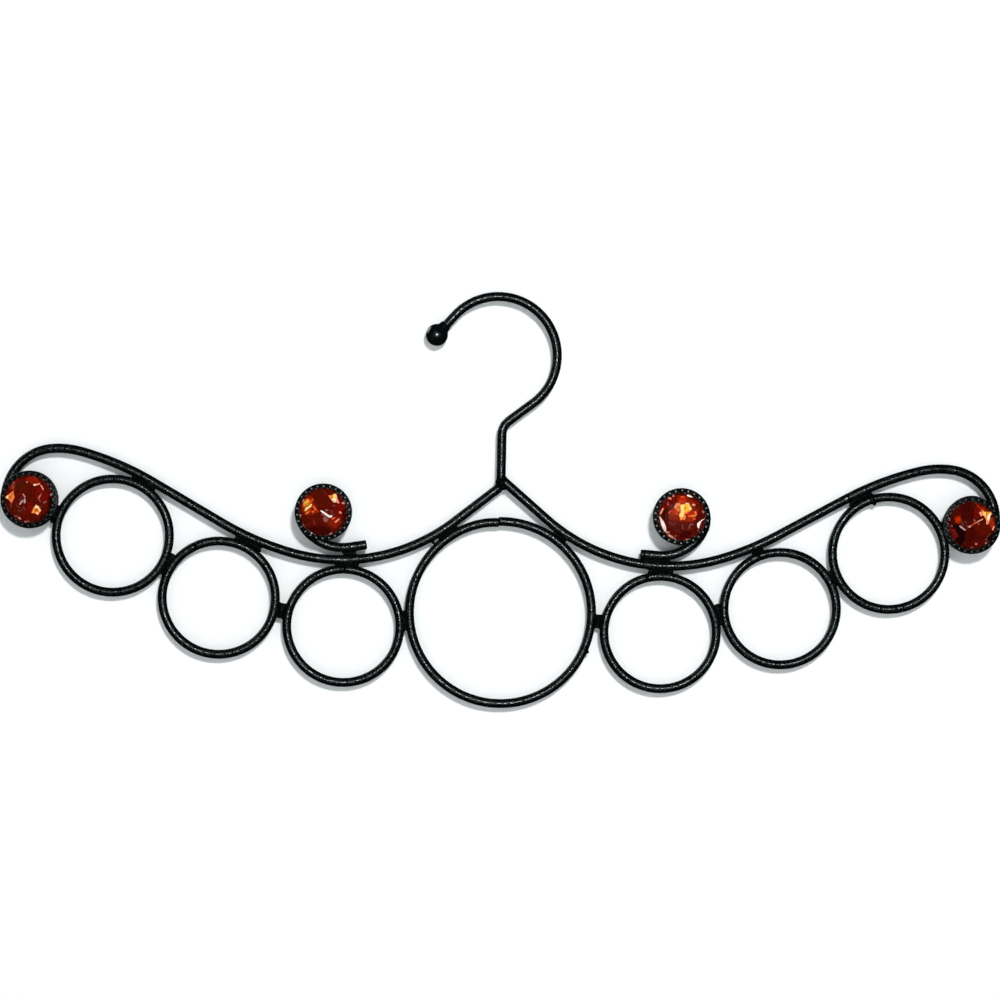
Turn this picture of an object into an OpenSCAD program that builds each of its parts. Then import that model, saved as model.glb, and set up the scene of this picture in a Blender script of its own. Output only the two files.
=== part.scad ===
// Wire scarf hanger: a rail hook, two scrolled arms, a row of seven rings and four jewels in milled cups.
// It is drawn as it hangs, in millimetres: +Z up, +X to the right seen from the front; the front faces -Y.
// Every wire lies in the XZ plane. The origin is the centre of the hook's arc, where the rail runs along Y.

/* [Wire] */
// Diameter of the hook's wire with its coating
hook_wire = 4.2; // [3.4:0.1:4.3]
// Diameter of the rings' wire with its coating
ring_wire = 4.1; // [3.6:0.1:4.1]
// Diameter of the wire of the arms and scrolls with its coating
arm_wire = 4.3; // [3.8:0.1:4.3]

/* [Hook] */
// Radius of the hook's arc, to the middle of the wire
hook_radius = 27.1; // [22:0.1:32]
// Turn of the hook's arc, in degrees
hook_turn = 190.9; // [170:0.1:200]
// Straight run from the arc to the middle of the ball
hook_tail = 12.2; // [8:0.1:20]
// Radius of the knee between stem and neck
knee_radius = 7; // [5:0.5:10]
// Turn of the knee, in degrees
knee_turn = 52.6; // [45:0.1:60]
// Straight neck between knee and arc
neck_length = 14.2; // [10:0.1:18]
// Height of the hook's centre over the centre ring's centre
hook_height = 117.9; // [110:0.1:130]
// Distance of the hook's centre to the left of the centre ring's centre
hook_offset = 3.4; // [0:0.1:6]
// Diameter of the ball on the hook's end
ball_diameter = 10.1; // [8:0.1:14]

/* [Rings] */
// Radius of the centre ring, to the middle of the wire
centre_radius = 41.8; // [38:0.1:44]
// Radius of the small rings, to the middle of the wire, left and right
small_radius = [26, 25.8]; // [22:0.1:26]
// Bearing from each left ring to the next one out, in degrees above level
left_bearings = [-6, 11.6, 29.2]; // [-10:0.1:35]
// Bearing from each right ring to the next one out, in degrees above level
right_bearings = [-6, 12.4, 28.2]; // [-10:0.1:35]
// Gaps between neighbouring rings on the left, from the centre out
left_gaps = [0.5, 2.5, 0.3]; // [0.1:0.05:3]
// Gaps between neighbouring rings on the right, from the centre out
right_gaps = [2.15, 0.5, 0.2]; // [0.1:0.05:3]

/* [Arms] */
// Distance of each arm's upper end from the middle, left and right
arm_start_x = [1.5, 0.4]; // [0.4:0.1:3]
// Height of each arm's upper end over the centre ring's centre, left and right
arm_start_z = [57.5, 60.2]; // [56:0.1:62]
// Slope at which each arm leaves the stem, in degrees, left and right
arm_slope = [38.5, 40.5]; // [36:0.1:42]
// Straight run below the stem
arm_neck = 26.2; // [20:0.1:32]
// Radius of the arm's sag over the first small ring
sag_radius = 85; // [75:1:95]
// Turn of the sag, in degrees, left and right
sag_turn = [53.6, 58.7]; // [50:0.1:60]
// Radius of the flatter bend after the sag
flat_radius = 137; // [110:1:160]
// Turn of the flatter bend, in degrees, left and right
flat_turn = [14.4, 11]; // [8:0.1:18]
// Straight rise over the second small ring
arm_rise = 36.2; // [30:0.1:42]
// Radius of the shoulder over the third small ring
shoulder_radius = 139; // [110:1:160]
// Turn of the shoulder, in degrees
shoulder_turn = 14.8; // [10:0.1:20]
// Radius of the crest
crest_radius = 41; // [30:1:50]
// Turn of the crest, in degrees, left and right
crest_turn = [18.3, 21]; // [8:0.1:24]
// Radius of the bend from the crest down to the eye
drop_radius = 23.1; // [18:0.1:28]
// Turn of that bend, in degrees, left and right
drop_turn = [89.8, 89.9]; // [80:0.1:105]

/* [Scrolls] */
// Distance of each scroll's free end from the middle, left and right
scroll_start_x = [62.1, 63.7]; // [58:0.1:68]
// Height of each scroll's free end over the centre ring's centre, left and right
scroll_start_z = [29.9, 28.1]; // [27:0.1:34]
// Slope of each scroll's straight end, in degrees, left and right
scroll_slope = [9.3, 3.9]; // [0:0.1:12]
// Length of the straight end
scroll_end = 7.9; // [5:0.1:12]
// Radius of the scroll's first bend
scroll_radius = 21.8; // [18:0.1:26]
// Turn of the first bend, in degrees, left and right
scroll_turn = [58.6, 63.9]; // [50:0.1:70]
// Radius of the scroll's second bend
curl_radius = 11.9; // [10.7:0.1:14]
// Turn of the second bend, in degrees, left and right
curl_turn = [78.6, 107.3]; // [60:0.1:120]

/* [Eyes and cups] */
// Radius of the eyes that end the arms, to the middle of the wire, left and right
arm_eye_radius = [11.1, 10.6]; // [10:0.1:11.3]
// Radius of the eyes that end the scrolls, to the middle of the wire
scroll_eye_radius = 10.6; // [10:0.1:10.6]
// Turn of the eyes at the ends of the arms, in degrees
arm_eye_turn = 275; // [200:1:285]
// Turn of each scroll from its second bend to the end of its eye, in degrees
scroll_whole_turn = 285; // [240:1:295]
// Distance of each outer cup inwards of its eye's centre, left and right
cup_inset = [0.5, 1]; // [0:0.1:1.2]
// Distance of each outer cup below its eye's centre, left and right
cup_drop = [-0.2, 0.9]; // [-0.8:0.1:1]
// Outer diameter of a cup
cup_diameter = 26.2; // [25.1:0.1:27]
// Depth of a cup from its back to its lip
cup_depth = 4.9; // [4.7:0.1:6]
// Wall thickness of a cup
cup_wall = 0.7; // [0.5:0.1:0.7]
// Number of teeth milled in a cup's lip
tooth_count = 26; // [20:1:32]
// Width of the lip that folds over the jewel
lip_width = 2.2; // [1.6:0.1:2.4]

/* [Jewels] */
// Diameter of a jewel at its girdle
jewel_diameter = 23.5; // [23:0.1:23.6]
// Width of the table across its corners, as a share of the girdle
table_share = 0.66; // [0.55:0.01:0.75]
// Height of the crown
crown_height = 2.4; // [1.8:0.1:2.6]
// Depth of the pointed back
pavilion_depth = 1.7; // [1:0.1:1.9]
// Turn of each jewel in its cup, in degrees, from the left outer to the right outer one
jewel_turns = [22.5, 12, 0, 35]; // [0:0.5:45]

/* [Welds] */
// Thickness of the weld webs, front to back
weld_thickness = 2.8; // [2:0.1:3.2]
// Depth of a web's bite into the groove beside each wire
weld_bite = 1; // [0.8:0.1:1.3]
// Lengths of the webs between neighbouring rings on the left, from the centre out
left_ring_welds = [8, 6, 9.5]; // [4:0.5:12]
// Lengths of the webs between neighbouring rings on the right, from the centre out
right_ring_welds = [5, 8.5, 6.5]; // [4:0.5:12]
// Lengths of the webs between the left arm and its rings, from the centre out
left_arm_welds = [8.5, 9, 11.5, 10.5]; // [4:0.5:14]
// Lengths of the webs between the right arm and its rings, from the centre out
right_arm_welds = [5.5, 10, 4, 11]; // [4:0.5:14]
// Length of the webs between the outer rings and the eyes
eye_weld = 8; // [4:0.5:8]
// Length of the webs between the scrolls and the arms, left and right
scroll_welds = [5, 12]; // [3:0.5:13]
// Distance of those webs from the scroll's free end, left and right
scroll_weld_at = [8.2, 7]; // [4:0.1:12]

/* [Hidden] */
$fn = 48;
// Sides to a full turn along a bent wire
turn_sides = 240;

left = 0;
right = 1;
sides = [left, right];

// Bending leaves a faint mark round the wire where one bend passes into the next
mark_height = 0.01;
mark_length = 0.4;

// The wire goes this deep into the ball, and the ball's neck ring stands on the wire
ball_grip = 3.6;
neck_ring_diameter = hook_wire + 1;
neck_ring_length = 6.4;

// The stem hangs below the knee down to the apex weld
stem_x = hook_radius * cos(knee_turn) - neck_length * sin(knee_turn) - knee_radius * (1 - cos(knee_turn));
stem_top = -hook_radius * sin(knee_turn) - neck_length * cos(knee_turn) - knee_radius * sin(knee_turn);
stem_end_over_ring = 61.3;
stem_length = stem_top + hook_height - stem_end_over_ring;
apex_lumps = [[[-0.3, 58.8], 3.4], [[1.1, 61.9], 1.7]];
apex_weld_thickness = 3.6;

// A ring's ends meet in a thin disc of weld, a little proud of the wire
seam_length = 0.4;
seam_height = 0.05;
centre_seam = 92;
small_seams = [[90, 64, 90], [104.5, 113, 107]];

// The cups stand on a bed of solder in front of the eyes
solder_gap = 0.15;
solder_width = 2.6;
solder_depth = 0.8;
cup_back = arm_wire / 2 + solder_gap;
cup_radius = cup_diameter / 2;
cup_base = 0.8;
lip_height = 0.7;
tooth_gap = 1.3;
tooth_root = cup_depth - lip_height - 0.1;

girdle_height = 0.6;
girdle_gap = 0.2;
girdle_front = cup_depth - lip_height - girdle_gap - lip_slope_drop();
glue_front = girdle_front - girdle_height - 0.3;

black = [0.05, 0.06, 0.06];
cup_black = [0.09, 0.1, 0.1];
amber = [0.5, 0.1, 0.02];
weld_black = [0.03, 0.04, 0.04];
glue_clear = [0.75, 0.72, 0.62];

// How far the crown has risen where the lip's edge passes over it
function lip_slope_drop() =
    crown_height * (jewel_diameter / 2 - cup_radius + lip_width) / (jewel_diameter / 2 * (1 - table_share));

// A stretch of wire is [length, 0] when it is straight and [radius, turn] when it is bent,
// with the turn upwards when it is positive
function straight(length) = [length, 0];
function bend(radius, turn) = [radius, turn];

// The pose after a stretch, where a pose is [x, z, heading]
function moved(pose, stretch) =
    let (
        radius = sign(stretch[1]) * stretch[0],
        heading = pose[2],
        turned = heading + stretch[1]
    )
    stretch[1] == 0
        ? [pose.x + stretch[0] * cos(heading), pose.y + stretch[0] * sin(heading), heading]
        : [
            pose.x + radius * (sin(turned) - sin(heading)),
            pose.y + radius * (cos(heading) - cos(turned)),
            turned,
        ];

// The poses at every joint of a wire, from its start to its end
function poses(start, path, i = 0) =
    i == len(path) ? [start] : concat([start], poses(moved(start, path[i]), path, i + 1));

// A share of a stretch, counted from its start
function part_of(stretch, share) =
    stretch[1] == 0 ? [stretch[0] * share, 0] : [stretch[0], stretch[1] * share];

// Points all along a wire, to find where it passes closest to another piece
function points_along(start, path, steps = 40) =
    let (joints = poses(start, path))
    [
        for (i = [0 : len(path) - 1], n = [1 : steps])
            let (pose = moved(joints[i], part_of(path[i], n / steps)))
            [pose.x, pose.y],
    ];
function closest(points, target) =
    let (distances = [for (p = points) norm(p - target)])
    points[search(min(distances), distances)[0]];

// The centre of the eye that a wire ends in, with a radius below zero where it turns down
function eye_centre(start, path, radius) =
    let (end = poses(start, path)[len(path)])
    [end.x - radius * sin(end[2]), end.y + radius * cos(end[2])];

// Positions on a side are measured from the centre ring's centre, outwards and upwards
function arm_start(side) = [arm_start_x[side], arm_start_z[side], -arm_slope[side]];
function arm_path(side) = [
    straight(arm_neck),
    bend(sag_radius, sag_turn[side]),
    bend(flat_radius, flat_turn[side]),
    straight(arm_rise),
    bend(shoulder_radius, -shoulder_turn),
    bend(crest_radius, -crest_turn[side]),
    bend(drop_radius, -drop_turn[side]),
];
function scroll_start(side) = [scroll_start_x[side], scroll_start_z[side], -scroll_slope[side]];
function scroll_path(side) = [
    straight(scroll_end),
    bend(scroll_radius, scroll_turn[side]),
    bend(curl_radius, curl_turn[side]),
];
function outer_eye(side) = eye_centre(arm_start(side), arm_path(side), -arm_eye_radius[side]);
function outer_cup(side) = outer_eye(side) - [cup_inset[side], cup_drop[side]];
function inner_eye(side) = eye_centre(scroll_start(side), scroll_path(side), scroll_eye_radius);

function ring_radius(side, i) = i == 0 ? centre_radius : small_radius[side];
function ring_gap(side, i) = side == left ? left_gaps[i - 1] : right_gaps[i - 1];
function ring_bearing(side, i) = side == left ? left_bearings[i - 1] : right_bearings[i - 1];
function ring_at(side, i) =
    i == 0
        ? [0, 0]
        : ring_at(side, i - 1)
            + (ring_radius(side, i - 1) + ring_radius(side, i) + ring_wire + ring_gap(side, i))
            * [cos(ring_bearing(side, i)), sin(ring_bearing(side, i))];
function ring_weld(side, i) = side == left ? left_ring_welds[i - 1] : right_ring_welds[i - 1];
function arm_weld(side, i) = side == left ? left_arm_welds[i] : right_arm_welds[i];
function seam_angle(side, i) = i == 0 ? centre_seam : small_seams[side][i - 1];

// A round rod bent about the Z axis
module bent_rod(radius, diameter, angle, start) {
    rotate_extrude(angle = angle, start = start, $fn = turn_sides)
        translate([radius, 0])
            circle(d = diameter, $fn = 48);
}

// One stretch of wire, running along +X from the origin
module stretch_of_wire(stretch, diameter) {
    if (stretch[1] == 0)
        rotate([0, 90, 0])
            cylinder(d = diameter, h = stretch[0]);
    else
        translate([0, 0, sign(stretch[1]) * stretch[0]])
            rotate([90, 0, 0])
                bent_rod(stretch[0], diameter, abs(stretch[1]), stretch[1] > 0 ? -90 : 90 + stretch[1]);
}

// Carries its children to the end of a stretch
module after(stretch) {
    if (stretch[1] == 0)
        translate([stretch[0], 0, 0])
            children();
    else
        translate([0, 0, sign(stretch[1]) * stretch[0]])
            rotate([0, -stretch[1], 0])
                translate([0, 0, -sign(stretch[1]) * stretch[0]])
                    children();
}

// A whole wire, stretch by stretch, with a bending mark at each joint
module wire_from(path, diameter, i = 0) {
    stretch_of_wire(path[i], diameter);
    if (i > 0)
        rotate([0, 90, 0])
            cylinder(d = diameter + 2 * mark_height, h = mark_length, center = true);
    if (i < len(path) - 1)
        after(path[i])
            wire_from(path, diameter, i + 1);
}

module wire(start, path, diameter) {
    translate([start.x, 0, start.y])
        rotate([0, -start[2], 0])
            wire_from(path, diameter);
}

// Puts its children on a side of the hanger, the left one being the mirror image
module on_side(side) {
    translate([hook_offset, 0, -hook_height])
        mirror([side == left ? 1 : 0, 0, 0])
            children();
}

// Stands its children at a point of a side, with their +Z towards the front
module facing_front(point, back) {
    translate([point.x, -back, point.y])
        rotate([90, 0, 0])
            children();
}

module hook_wire() {
    color(black)
        wire(
            [stem_x, stem_top - stem_length, 90],
            [
                straight(stem_length),
                bend(knee_radius, -knee_turn),
                straight(neck_length),
                bend(hook_radius, hook_turn),
                straight(hook_tail - ball_diameter / 2 + ball_grip),
            ],
            hook_wire
        );
}

// The ball is bored for the wire and has a small neck ring round it
module hook_ball() {
    tip = moved([hook_radius * cos(knee_turn), -hook_radius * sin(knee_turn), 90 - knee_turn],
        bend(hook_radius, hook_turn));
    color(black)
        translate([tip.x, 0, tip.y])
            rotate([0, 90 - tip[2], 0])
                difference() {
                    union() {
                        translate([0, 0, hook_tail])
                            sphere(d = ball_diameter);
                        translate([0, 0, hook_tail - neck_ring_length])
                            cylinder(d = neck_ring_diameter, h = neck_ring_length);
                    }
                    cylinder(d = hook_wire, h = hook_tail - ball_diameter / 2 + ball_grip);
                }
}

module arm_wire_shape(side) {
    wire(arm_start(side), concat(arm_path(side), [bend(arm_eye_radius[side], -arm_eye_turn)]), arm_wire);
}

module arm(side) {
    color(black)
        on_side(side)
            arm_wire_shape(side);
}

module scroll_wire_shape(side) {
    eye = bend(scroll_eye_radius, scroll_whole_turn - curl_turn[side]);
    wire(scroll_start(side), concat(scroll_path(side), [eye]), arm_wire);
}

module scroll(side) {
    color(black)
        on_side(side)
            scroll_wire_shape(side);
}

// A ring with the narrow gap that its seam fills
function half_gap(side, i) = seam_length / ring_radius(side, i) * 90 / PI;
module ring_shape(side, i) {
    at = ring_at(side, i);
    translate([at.x, 0, at.y])
        rotate([90, 0, 0])
            bent_rod(
                ring_radius(side, i), ring_wire,
                360 - 2 * half_gap(side, i), seam_angle(side, i) + half_gap(side, i)
            );
}

module seam_shape(side, i) {
    at = ring_at(side, i);
    translate([at.x, 0, at.y])
        rotate([90, 0, 0])
            bent_rod(
                ring_radius(side, i), ring_wire + 2 * seam_height,
                2 * half_gap(side, i), seam_angle(side, i) - half_gap(side, i)
            );
}

module ring(side, i) {
    color(black)
        on_side(side)
            ring_shape(side, i);
}

module ring_seams() {
    color(weld_black) {
        on_side(right)
            seam_shape(right, 0);
        for (side = sides, i = [1 : 3])
            on_side(side)
                seam_shape(side, i);
    }
}

// The bent cup, its lip cut into teeth that hold the jewel
module cup(side, at) {
    color(cup_black)
        on_side(side)
            facing_front(at, cup_back)
                difference() {
                    rotate_extrude()
                        polygon([
                            [0, 0],
                            [cup_radius, 0],
                            [cup_radius, cup_depth],
                            [cup_radius - lip_width, cup_depth],
                            [cup_radius - lip_width, cup_depth - lip_height],
                            [cup_radius - cup_wall, cup_depth - lip_height],
                            [cup_radius - cup_wall, cup_base],
                            [0, cup_base],
                        ]);
                    for (n = [0 : tooth_count - 1])
                        rotate(n * 360 / tooth_count)
                            translate([cup_radius - lip_width - 1, -tooth_gap / 2, tooth_root])
                                cube([lip_width + 0.6, tooth_gap, lip_height + 0.2]);
                }
}

// An eight-sided table, eight facets that point outwards from it, and pairs of facets between them
module jewel_shape(turn) {
    girdle_radius = jewel_diameter / 2;
    girdle_back = girdle_front - girdle_height;
    function corner(radius, angle, z) = [radius * cos(angle), radius * sin(angle), z];
    points = concat(
        [for (k = [0 : 7]) corner(girdle_radius * table_share, 45 * k, girdle_front + crown_height)],
        [for (j = [0 : 15]) corner(girdle_radius, 22.5 * j, girdle_front)],
        [for (j = [0 : 15]) corner(girdle_radius, 22.5 * j, girdle_back)],
        [[0, 0, girdle_back - pavilion_depth]]
    );
    function front(j) = 8 + (j + 16) % 16;
    function back(j) = 24 + (j + 16) % 16;
    faces = concat(
        [[for (k = [7 : -1 : 0]) k]],
        [for (k = [0 : 7]) [k, (k + 1) % 8, front(2 * k + 1)]],
        [for (k = [0 : 7]) [k, front(2 * k), front(2 * k - 1)]],
        [for (k = [0 : 7]) [k, front(2 * k + 1), front(2 * k)]],
        [for (j = [0 : 15]) [front(j), front(j + 1), back(j + 1), back(j)]],
        [for (j = [0 : 15]) [back(j), back(j + 1), 40]]
    );
    rotate(turn)
        polyhedron(points, faces);
}

module jewel(side, at, turn) {
    color(amber)
        on_side(side)
            facing_front(at, cup_back)
                jewel_shape(turn);
}

// The glue that beds the jewel's back in its cup
module glue(side, at, turn) {
    color(glue_clear)
        on_side(side)
            facing_front(at, cup_back)
                difference() {
                    translate([0, 0, cup_base])
                        cylinder(r = cup_radius - cup_wall, h = glue_front - cup_base);
                    jewel_shape(turn);
                }
}

// A web of weld across the gap between two pieces: p and q are their centres, and reach_p and reach_q
// the distances from those to their surfaces
module web(p, reach_p, q, reach_q, length) {
    gap = norm(q - p) - reach_p - reach_q;
    bearing = atan2(q.y - p.y, q.x - p.x);
    translate([p.x, 0, p.y])
        rotate([0, -bearing, 0])
            translate([reach_p + gap / 2, 0, 0])
                cube([gap + 2 * weld_bite, weld_thickness, length], center = true);
}

// A flattened lump where the stem and both arms meet
module apex_weld() {
    color(weld_black)
        difference() {
            on_side(right)
                intersection() {
                    for (lump = apex_lumps)
                        translate([lump[0].x, 0, lump[0].y])
                            sphere(r = lump[1]);
                    translate([0, 0, apex_lumps[0][0].y])
                        cube([12, apex_weld_thickness, 14], center = true);
                }
            translate([stem_x, 0, stem_top - stem_length])
                cylinder(d = hook_wire, h = stem_length);
            for (side = sides)
                on_side(side)
                    wire(arm_start(side), [straight(arm_neck)], arm_wire);
        }
}

module ring_welds() {
    reach = ring_wire / 2;
    color(weld_black)
        for (side = sides, i = [1 : 3])
            on_side(side)
                difference() {
                    web(
                        ring_at(side, i - 1), ring_radius(side, i - 1) + reach,
                        ring_at(side, i), ring_radius(side, i) + reach, ring_weld(side, i)
                    );
                    ring_shape(side, i - 1);
                    ring_shape(side, i);
                }
}

module arm_welds() {
    color(weld_black)
        for (side = sides)
            on_side(side)
                difference() {
                    for (i = [0 : 3])
                        web(
                            ring_at(side, i), ring_radius(side, i) + ring_wire / 2,
                            closest(points_along(arm_start(side), arm_path(side)), ring_at(side, i)),
                            arm_wire / 2, arm_weld(side, i)
                        );
                    arm_wire_shape(side);
                    for (i = [0 : 3]) {
                        ring_shape(side, i);
                        seam_shape(side, i);
                    }
                }
}

// The scroll is welded to the arm under its free end
module scroll_welds() {
    color(weld_black)
        for (side = sides)
            on_side(side) {
                place = closest(
                    points_along(scroll_start(side), scroll_path(side)),
                    [scroll_start_x[side] + scroll_weld_at[side], scroll_start_z[side]]
                );
                difference() {
                    web(
                        place, arm_wire / 2,
                        closest(points_along(arm_start(side), arm_path(side)), place),
                        arm_wire / 2, scroll_welds[side]
                    );
                    arm_wire_shape(side);
                    scroll_wire_shape(side);
                }
            }
}

// A bed of solder behind each cup, and a web from each outer ring to the eye beside it
module cup_welds() {
    color(weld_black)
        for (side = sides)
            on_side(side) {
                difference() {
                    union() {
                        solder_bed(outer_eye(side), arm_eye_radius[side]);
                        web(
                            ring_at(side, 3), small_radius[side] + ring_wire / 2,
                            outer_eye(side), arm_eye_radius[side] + arm_wire / 2, eye_weld
                        );
                    }
                    arm_wire_shape(side);
                    ring_shape(side, 3);
                }
                difference() {
                    solder_bed(inner_eye(side), scroll_eye_radius);
                    scroll_wire_shape(side);
                }
            }
}

module solder_bed(at, radius) {
    facing_front(at, cup_back - solder_depth)
        difference() {
            cylinder(r = radius + solder_width / 2, h = solder_depth);
            translate([0, 0, -1])
                cylinder(r = radius - solder_width / 2, h = solder_depth + 2);
        }
}

hook_wire();
hook_ball();
arm(left);  // left_arm
arm(right);  // right_arm
scroll(left);  // left_scroll
scroll(right);  // right_scroll
ring(right, 0);  // centre_ring
ring(left, 1);  // left_inner_ring
ring(left, 2);  // left_middle_ring
ring(left, 3);  // left_outer_ring
ring(right, 1);  // right_inner_ring
ring(right, 2);  // right_middle_ring
ring(right, 3);  // right_outer_ring
cup(left, outer_cup(left));  // left_outer_cup
cup(left, inner_eye(left));  // left_inner_cup
cup(right, inner_eye(right));  // right_inner_cup
cup(right, outer_cup(right));  // right_outer_cup
jewel(left, outer_cup(left), jewel_turns[0]);  // left_outer_jewel
jewel(left, inner_eye(left), jewel_turns[1]);  // left_inner_jewel
jewel(right, inner_eye(right), jewel_turns[2]);  // right_inner_jewel
jewel(right, outer_cup(right), jewel_turns[3]);  // right_outer_jewel
glue(left, outer_cup(left), jewel_turns[0]);  // left_outer_glue
glue(left, inner_eye(left), jewel_turns[1]);  // left_inner_glue
glue(right, inner_eye(right), jewel_turns[2]);  // right_inner_glue
glue(right, outer_cup(right), jewel_turns[3]);  // right_outer_glue
apex_weld();
ring_welds();
arm_welds();
scroll_welds();
cup_welds();
ring_seams();
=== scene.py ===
# %% [markdown]
# # A wire scarf hanger
#
# This hanger is a black coated wire frame: a rail hook with a ball on its end, two arms that curl into eyes,
# two short scrolls, a row of seven rings for scarves, and four amber jewels in milled cups. The solid model
# of it comes in as a fixed frame. Here every visible piece is made again with smoother metal and finer
# facets, exactly where its solid is. All lengths are written in millimetres and turned into metres when a
# piece is finished.

# %% Load the solid model
import math

import bmesh
import bpy
from mathutils import Matrix, Vector, noise


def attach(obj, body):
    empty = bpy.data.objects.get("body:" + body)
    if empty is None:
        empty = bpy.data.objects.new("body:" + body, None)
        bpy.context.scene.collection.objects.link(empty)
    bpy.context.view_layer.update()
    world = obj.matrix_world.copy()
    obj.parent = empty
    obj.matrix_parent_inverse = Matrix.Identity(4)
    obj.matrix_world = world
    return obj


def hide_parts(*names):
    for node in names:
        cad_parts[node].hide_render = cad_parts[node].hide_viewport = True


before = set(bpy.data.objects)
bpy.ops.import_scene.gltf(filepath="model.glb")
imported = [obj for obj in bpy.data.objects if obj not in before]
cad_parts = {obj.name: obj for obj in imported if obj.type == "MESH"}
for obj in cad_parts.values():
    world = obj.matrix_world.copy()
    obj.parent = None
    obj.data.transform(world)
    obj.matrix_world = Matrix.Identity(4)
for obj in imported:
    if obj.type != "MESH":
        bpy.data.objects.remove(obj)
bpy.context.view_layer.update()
MM = 0.001

# %% [markdown]
# ## The camera
#
# The photograph was taken square to the hanger, from far enough away that the cups hardly shift against the
# wires behind them. The hanger hangs 1.15 degrees clockwise in the picture. The hanger stays upright here,
# and the camera is turned instead, because every view and every other use of the model expects it upright.
# The lens follows from two numbers: the picture is 1000 pixels wide, and a pixel is 0.459 mm at the wires.
# The middle of the picture is a little left of the centre ring's middle, and well above it.

# %% Camera
PIXEL = 0.459
PICTURE_WIDTH = 1000 * PIXEL
PICTURE_MIDDLE = (-0.5 * PIXEL, 112.5 * PIXEL)
CAMERA_DISTANCE = 1500.0
PICTURE_TURN = 1.15
RING_ROW_X, RING_ROW_Z = 3.4, -117.9


def aim_camera(centre_right, centre_up):
    """Looks along +Y at a point given in picture directions from the centre ring's centre."""
    data = bpy.data.cameras.new("camera")
    data.lens = data.sensor_width * CAMERA_DISTANCE / PICTURE_WIDTH
    camera = bpy.data.objects.new("camera", data)
    bpy.context.collection.objects.link(camera)
    turn = math.radians(PICTURE_TURN)
    x = RING_ROW_X + centre_right * math.cos(turn) - centre_up * math.sin(turn)
    z = RING_ROW_Z + centre_right * math.sin(turn) + centre_up * math.cos(turn)
    camera.matrix_world = (
        Matrix.Translation(Vector((x, -CAMERA_DISTANCE, z)) * MM)
        @ Matrix.Rotation(math.radians(90), 4, "X")
        @ Matrix.Rotation(turn, 4, "Z")
    )
    bpy.context.scene.camera = camera
    print("lens:", round(data.lens, 1), "mm")


aim_camera(*PICTURE_MIDDLE)

# %% [markdown]
# ## The shape of each wire
#
# A wire like this is bent on a jig from a straight rod: it goes straight, then round a former of some radius,
# then straight again. So a wire is written as a start, a heading and a list of stretches. A stretch is
# (length, 0) when it is straight and (radius, turn) when it is bent, with the turn in degrees and upwards
# when positive. Both arms share one list, but some bends turn a little more on one side than on the other, as
# they do on a thing bent by hand. The last stretch of an arm or a scroll is the eye that carries its cup.

# %% Wire routes
HOOK_WIRE, RING_WIRE, ARM_WIRE = 4.2, 4.1, 4.3
KNEE_TURN = 52.6
KNEE = math.radians(KNEE_TURN)
HOOK_RADIUS, HOOK_TURN, NECK, KNEE_RADIUS = 27.1, 190.9, 14.2, 7
STEM_X = HOOK_RADIUS * math.cos(KNEE) - NECK * math.sin(KNEE) - KNEE_RADIUS * (1 - math.cos(KNEE))
STEM_TOP = -HOOK_RADIUS * math.sin(KNEE) - NECK * math.cos(KNEE) - KNEE_RADIUS * math.sin(KNEE)
STEM_END_OVER_RING = 61.3
STEM_END = RING_ROW_Z + STEM_END_OVER_RING
HOOK_TAIL = 12.2
BALL_DIAMETER = 10.1
WIRE_IN_BALL = 3.0


def arm_stretches(sag_turn, flat_turn, crest_turn, drop_turn, eye_radius):
    return [(26.2, 0), (85, sag_turn), (137, flat_turn), (36.2, 0), (139, -14.8), (41, -crest_turn),
            (23.1, -drop_turn), (eye_radius, -275)]


def scroll_stretches(first_turn, second_turn):
    return [(7.9, 0), (21.8, first_turn), (11.9, second_turn), (10.6, 285 - second_turn)]


# On each side x counts outwards from the centre ring: -1 mirrors a piece to the left, and 1 keeps it right.
SIDES = {"left": -1, "right": 1}
ARMS = {
    "left": ((1.5, 57.5, -38.5), arm_stretches(53.6, 14.4, 18.3, 89.8, 11.1)),
    "right": ((0.4, 60.2, -40.5), arm_stretches(58.7, 11, 21, 89.9, 10.6)),
}
SCROLLS = {
    "left": ((62.1, 29.9, -9.3), scroll_stretches(58.6, 78.6)),
    "right": ((63.7, 28.1, -3.9), scroll_stretches(63.9, 107.3)),
}
HOOK = ((STEM_X, STEM_END, 90), [(STEM_TOP - STEM_END, 0), (KNEE_RADIUS, -KNEE_TURN), (NECK, 0),
                                 (HOOK_RADIUS, HOOK_TURN), (HOOK_TAIL - BALL_DIAMETER / 2 + WIRE_IN_BALL, 0)])


def bend_centre(x, z, heading, radius, turn):
    side = math.copysign(radius, turn)
    return x - side * math.sin(heading), z + side * math.cos(heading)


def follow(start, stretches):
    """The pose (x, z, heading in radians) at each end of every stretch of a wire."""
    x, z, heading = start[0], start[1], math.radians(start[2])
    poses = [(x, z, heading)]
    for size, turn in stretches:
        if turn == 0:
            x, z = x + size * math.cos(heading), z + size * math.sin(heading)
        else:
            cx, cz = bend_centre(x, z, heading, size, turn)
            side = math.copysign(size, turn)
            heading += math.radians(turn)
            x, z = cx + side * math.sin(heading), cz - side * math.cos(heading)
        poses.append((x, z, heading))
    return poses


for side in SIDES:
    end = follow(*ARMS[side])[-1]
    print(side, "arm ends at", round(end[0], 1), round(end[1], 1))

# %% [markdown]
# ## Drawing a wire
#
# A curve object with a round bevel would draw a wire too, but its bends would only be near to true arcs. Here
# a small circle is pushed along the route instead: it is extruded along each straight stretch and spun round
# the centre of each bend, so that every bend is a true arc of the radius that was measured. The ends are
# closed and their edges rounded, because the coating always gathers into a soft edge there.

# %% Wire drawing
WIRE_SIDES = 20
WIRE_STEP = 2.2
END_SOFTNESS = 0.45


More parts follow.
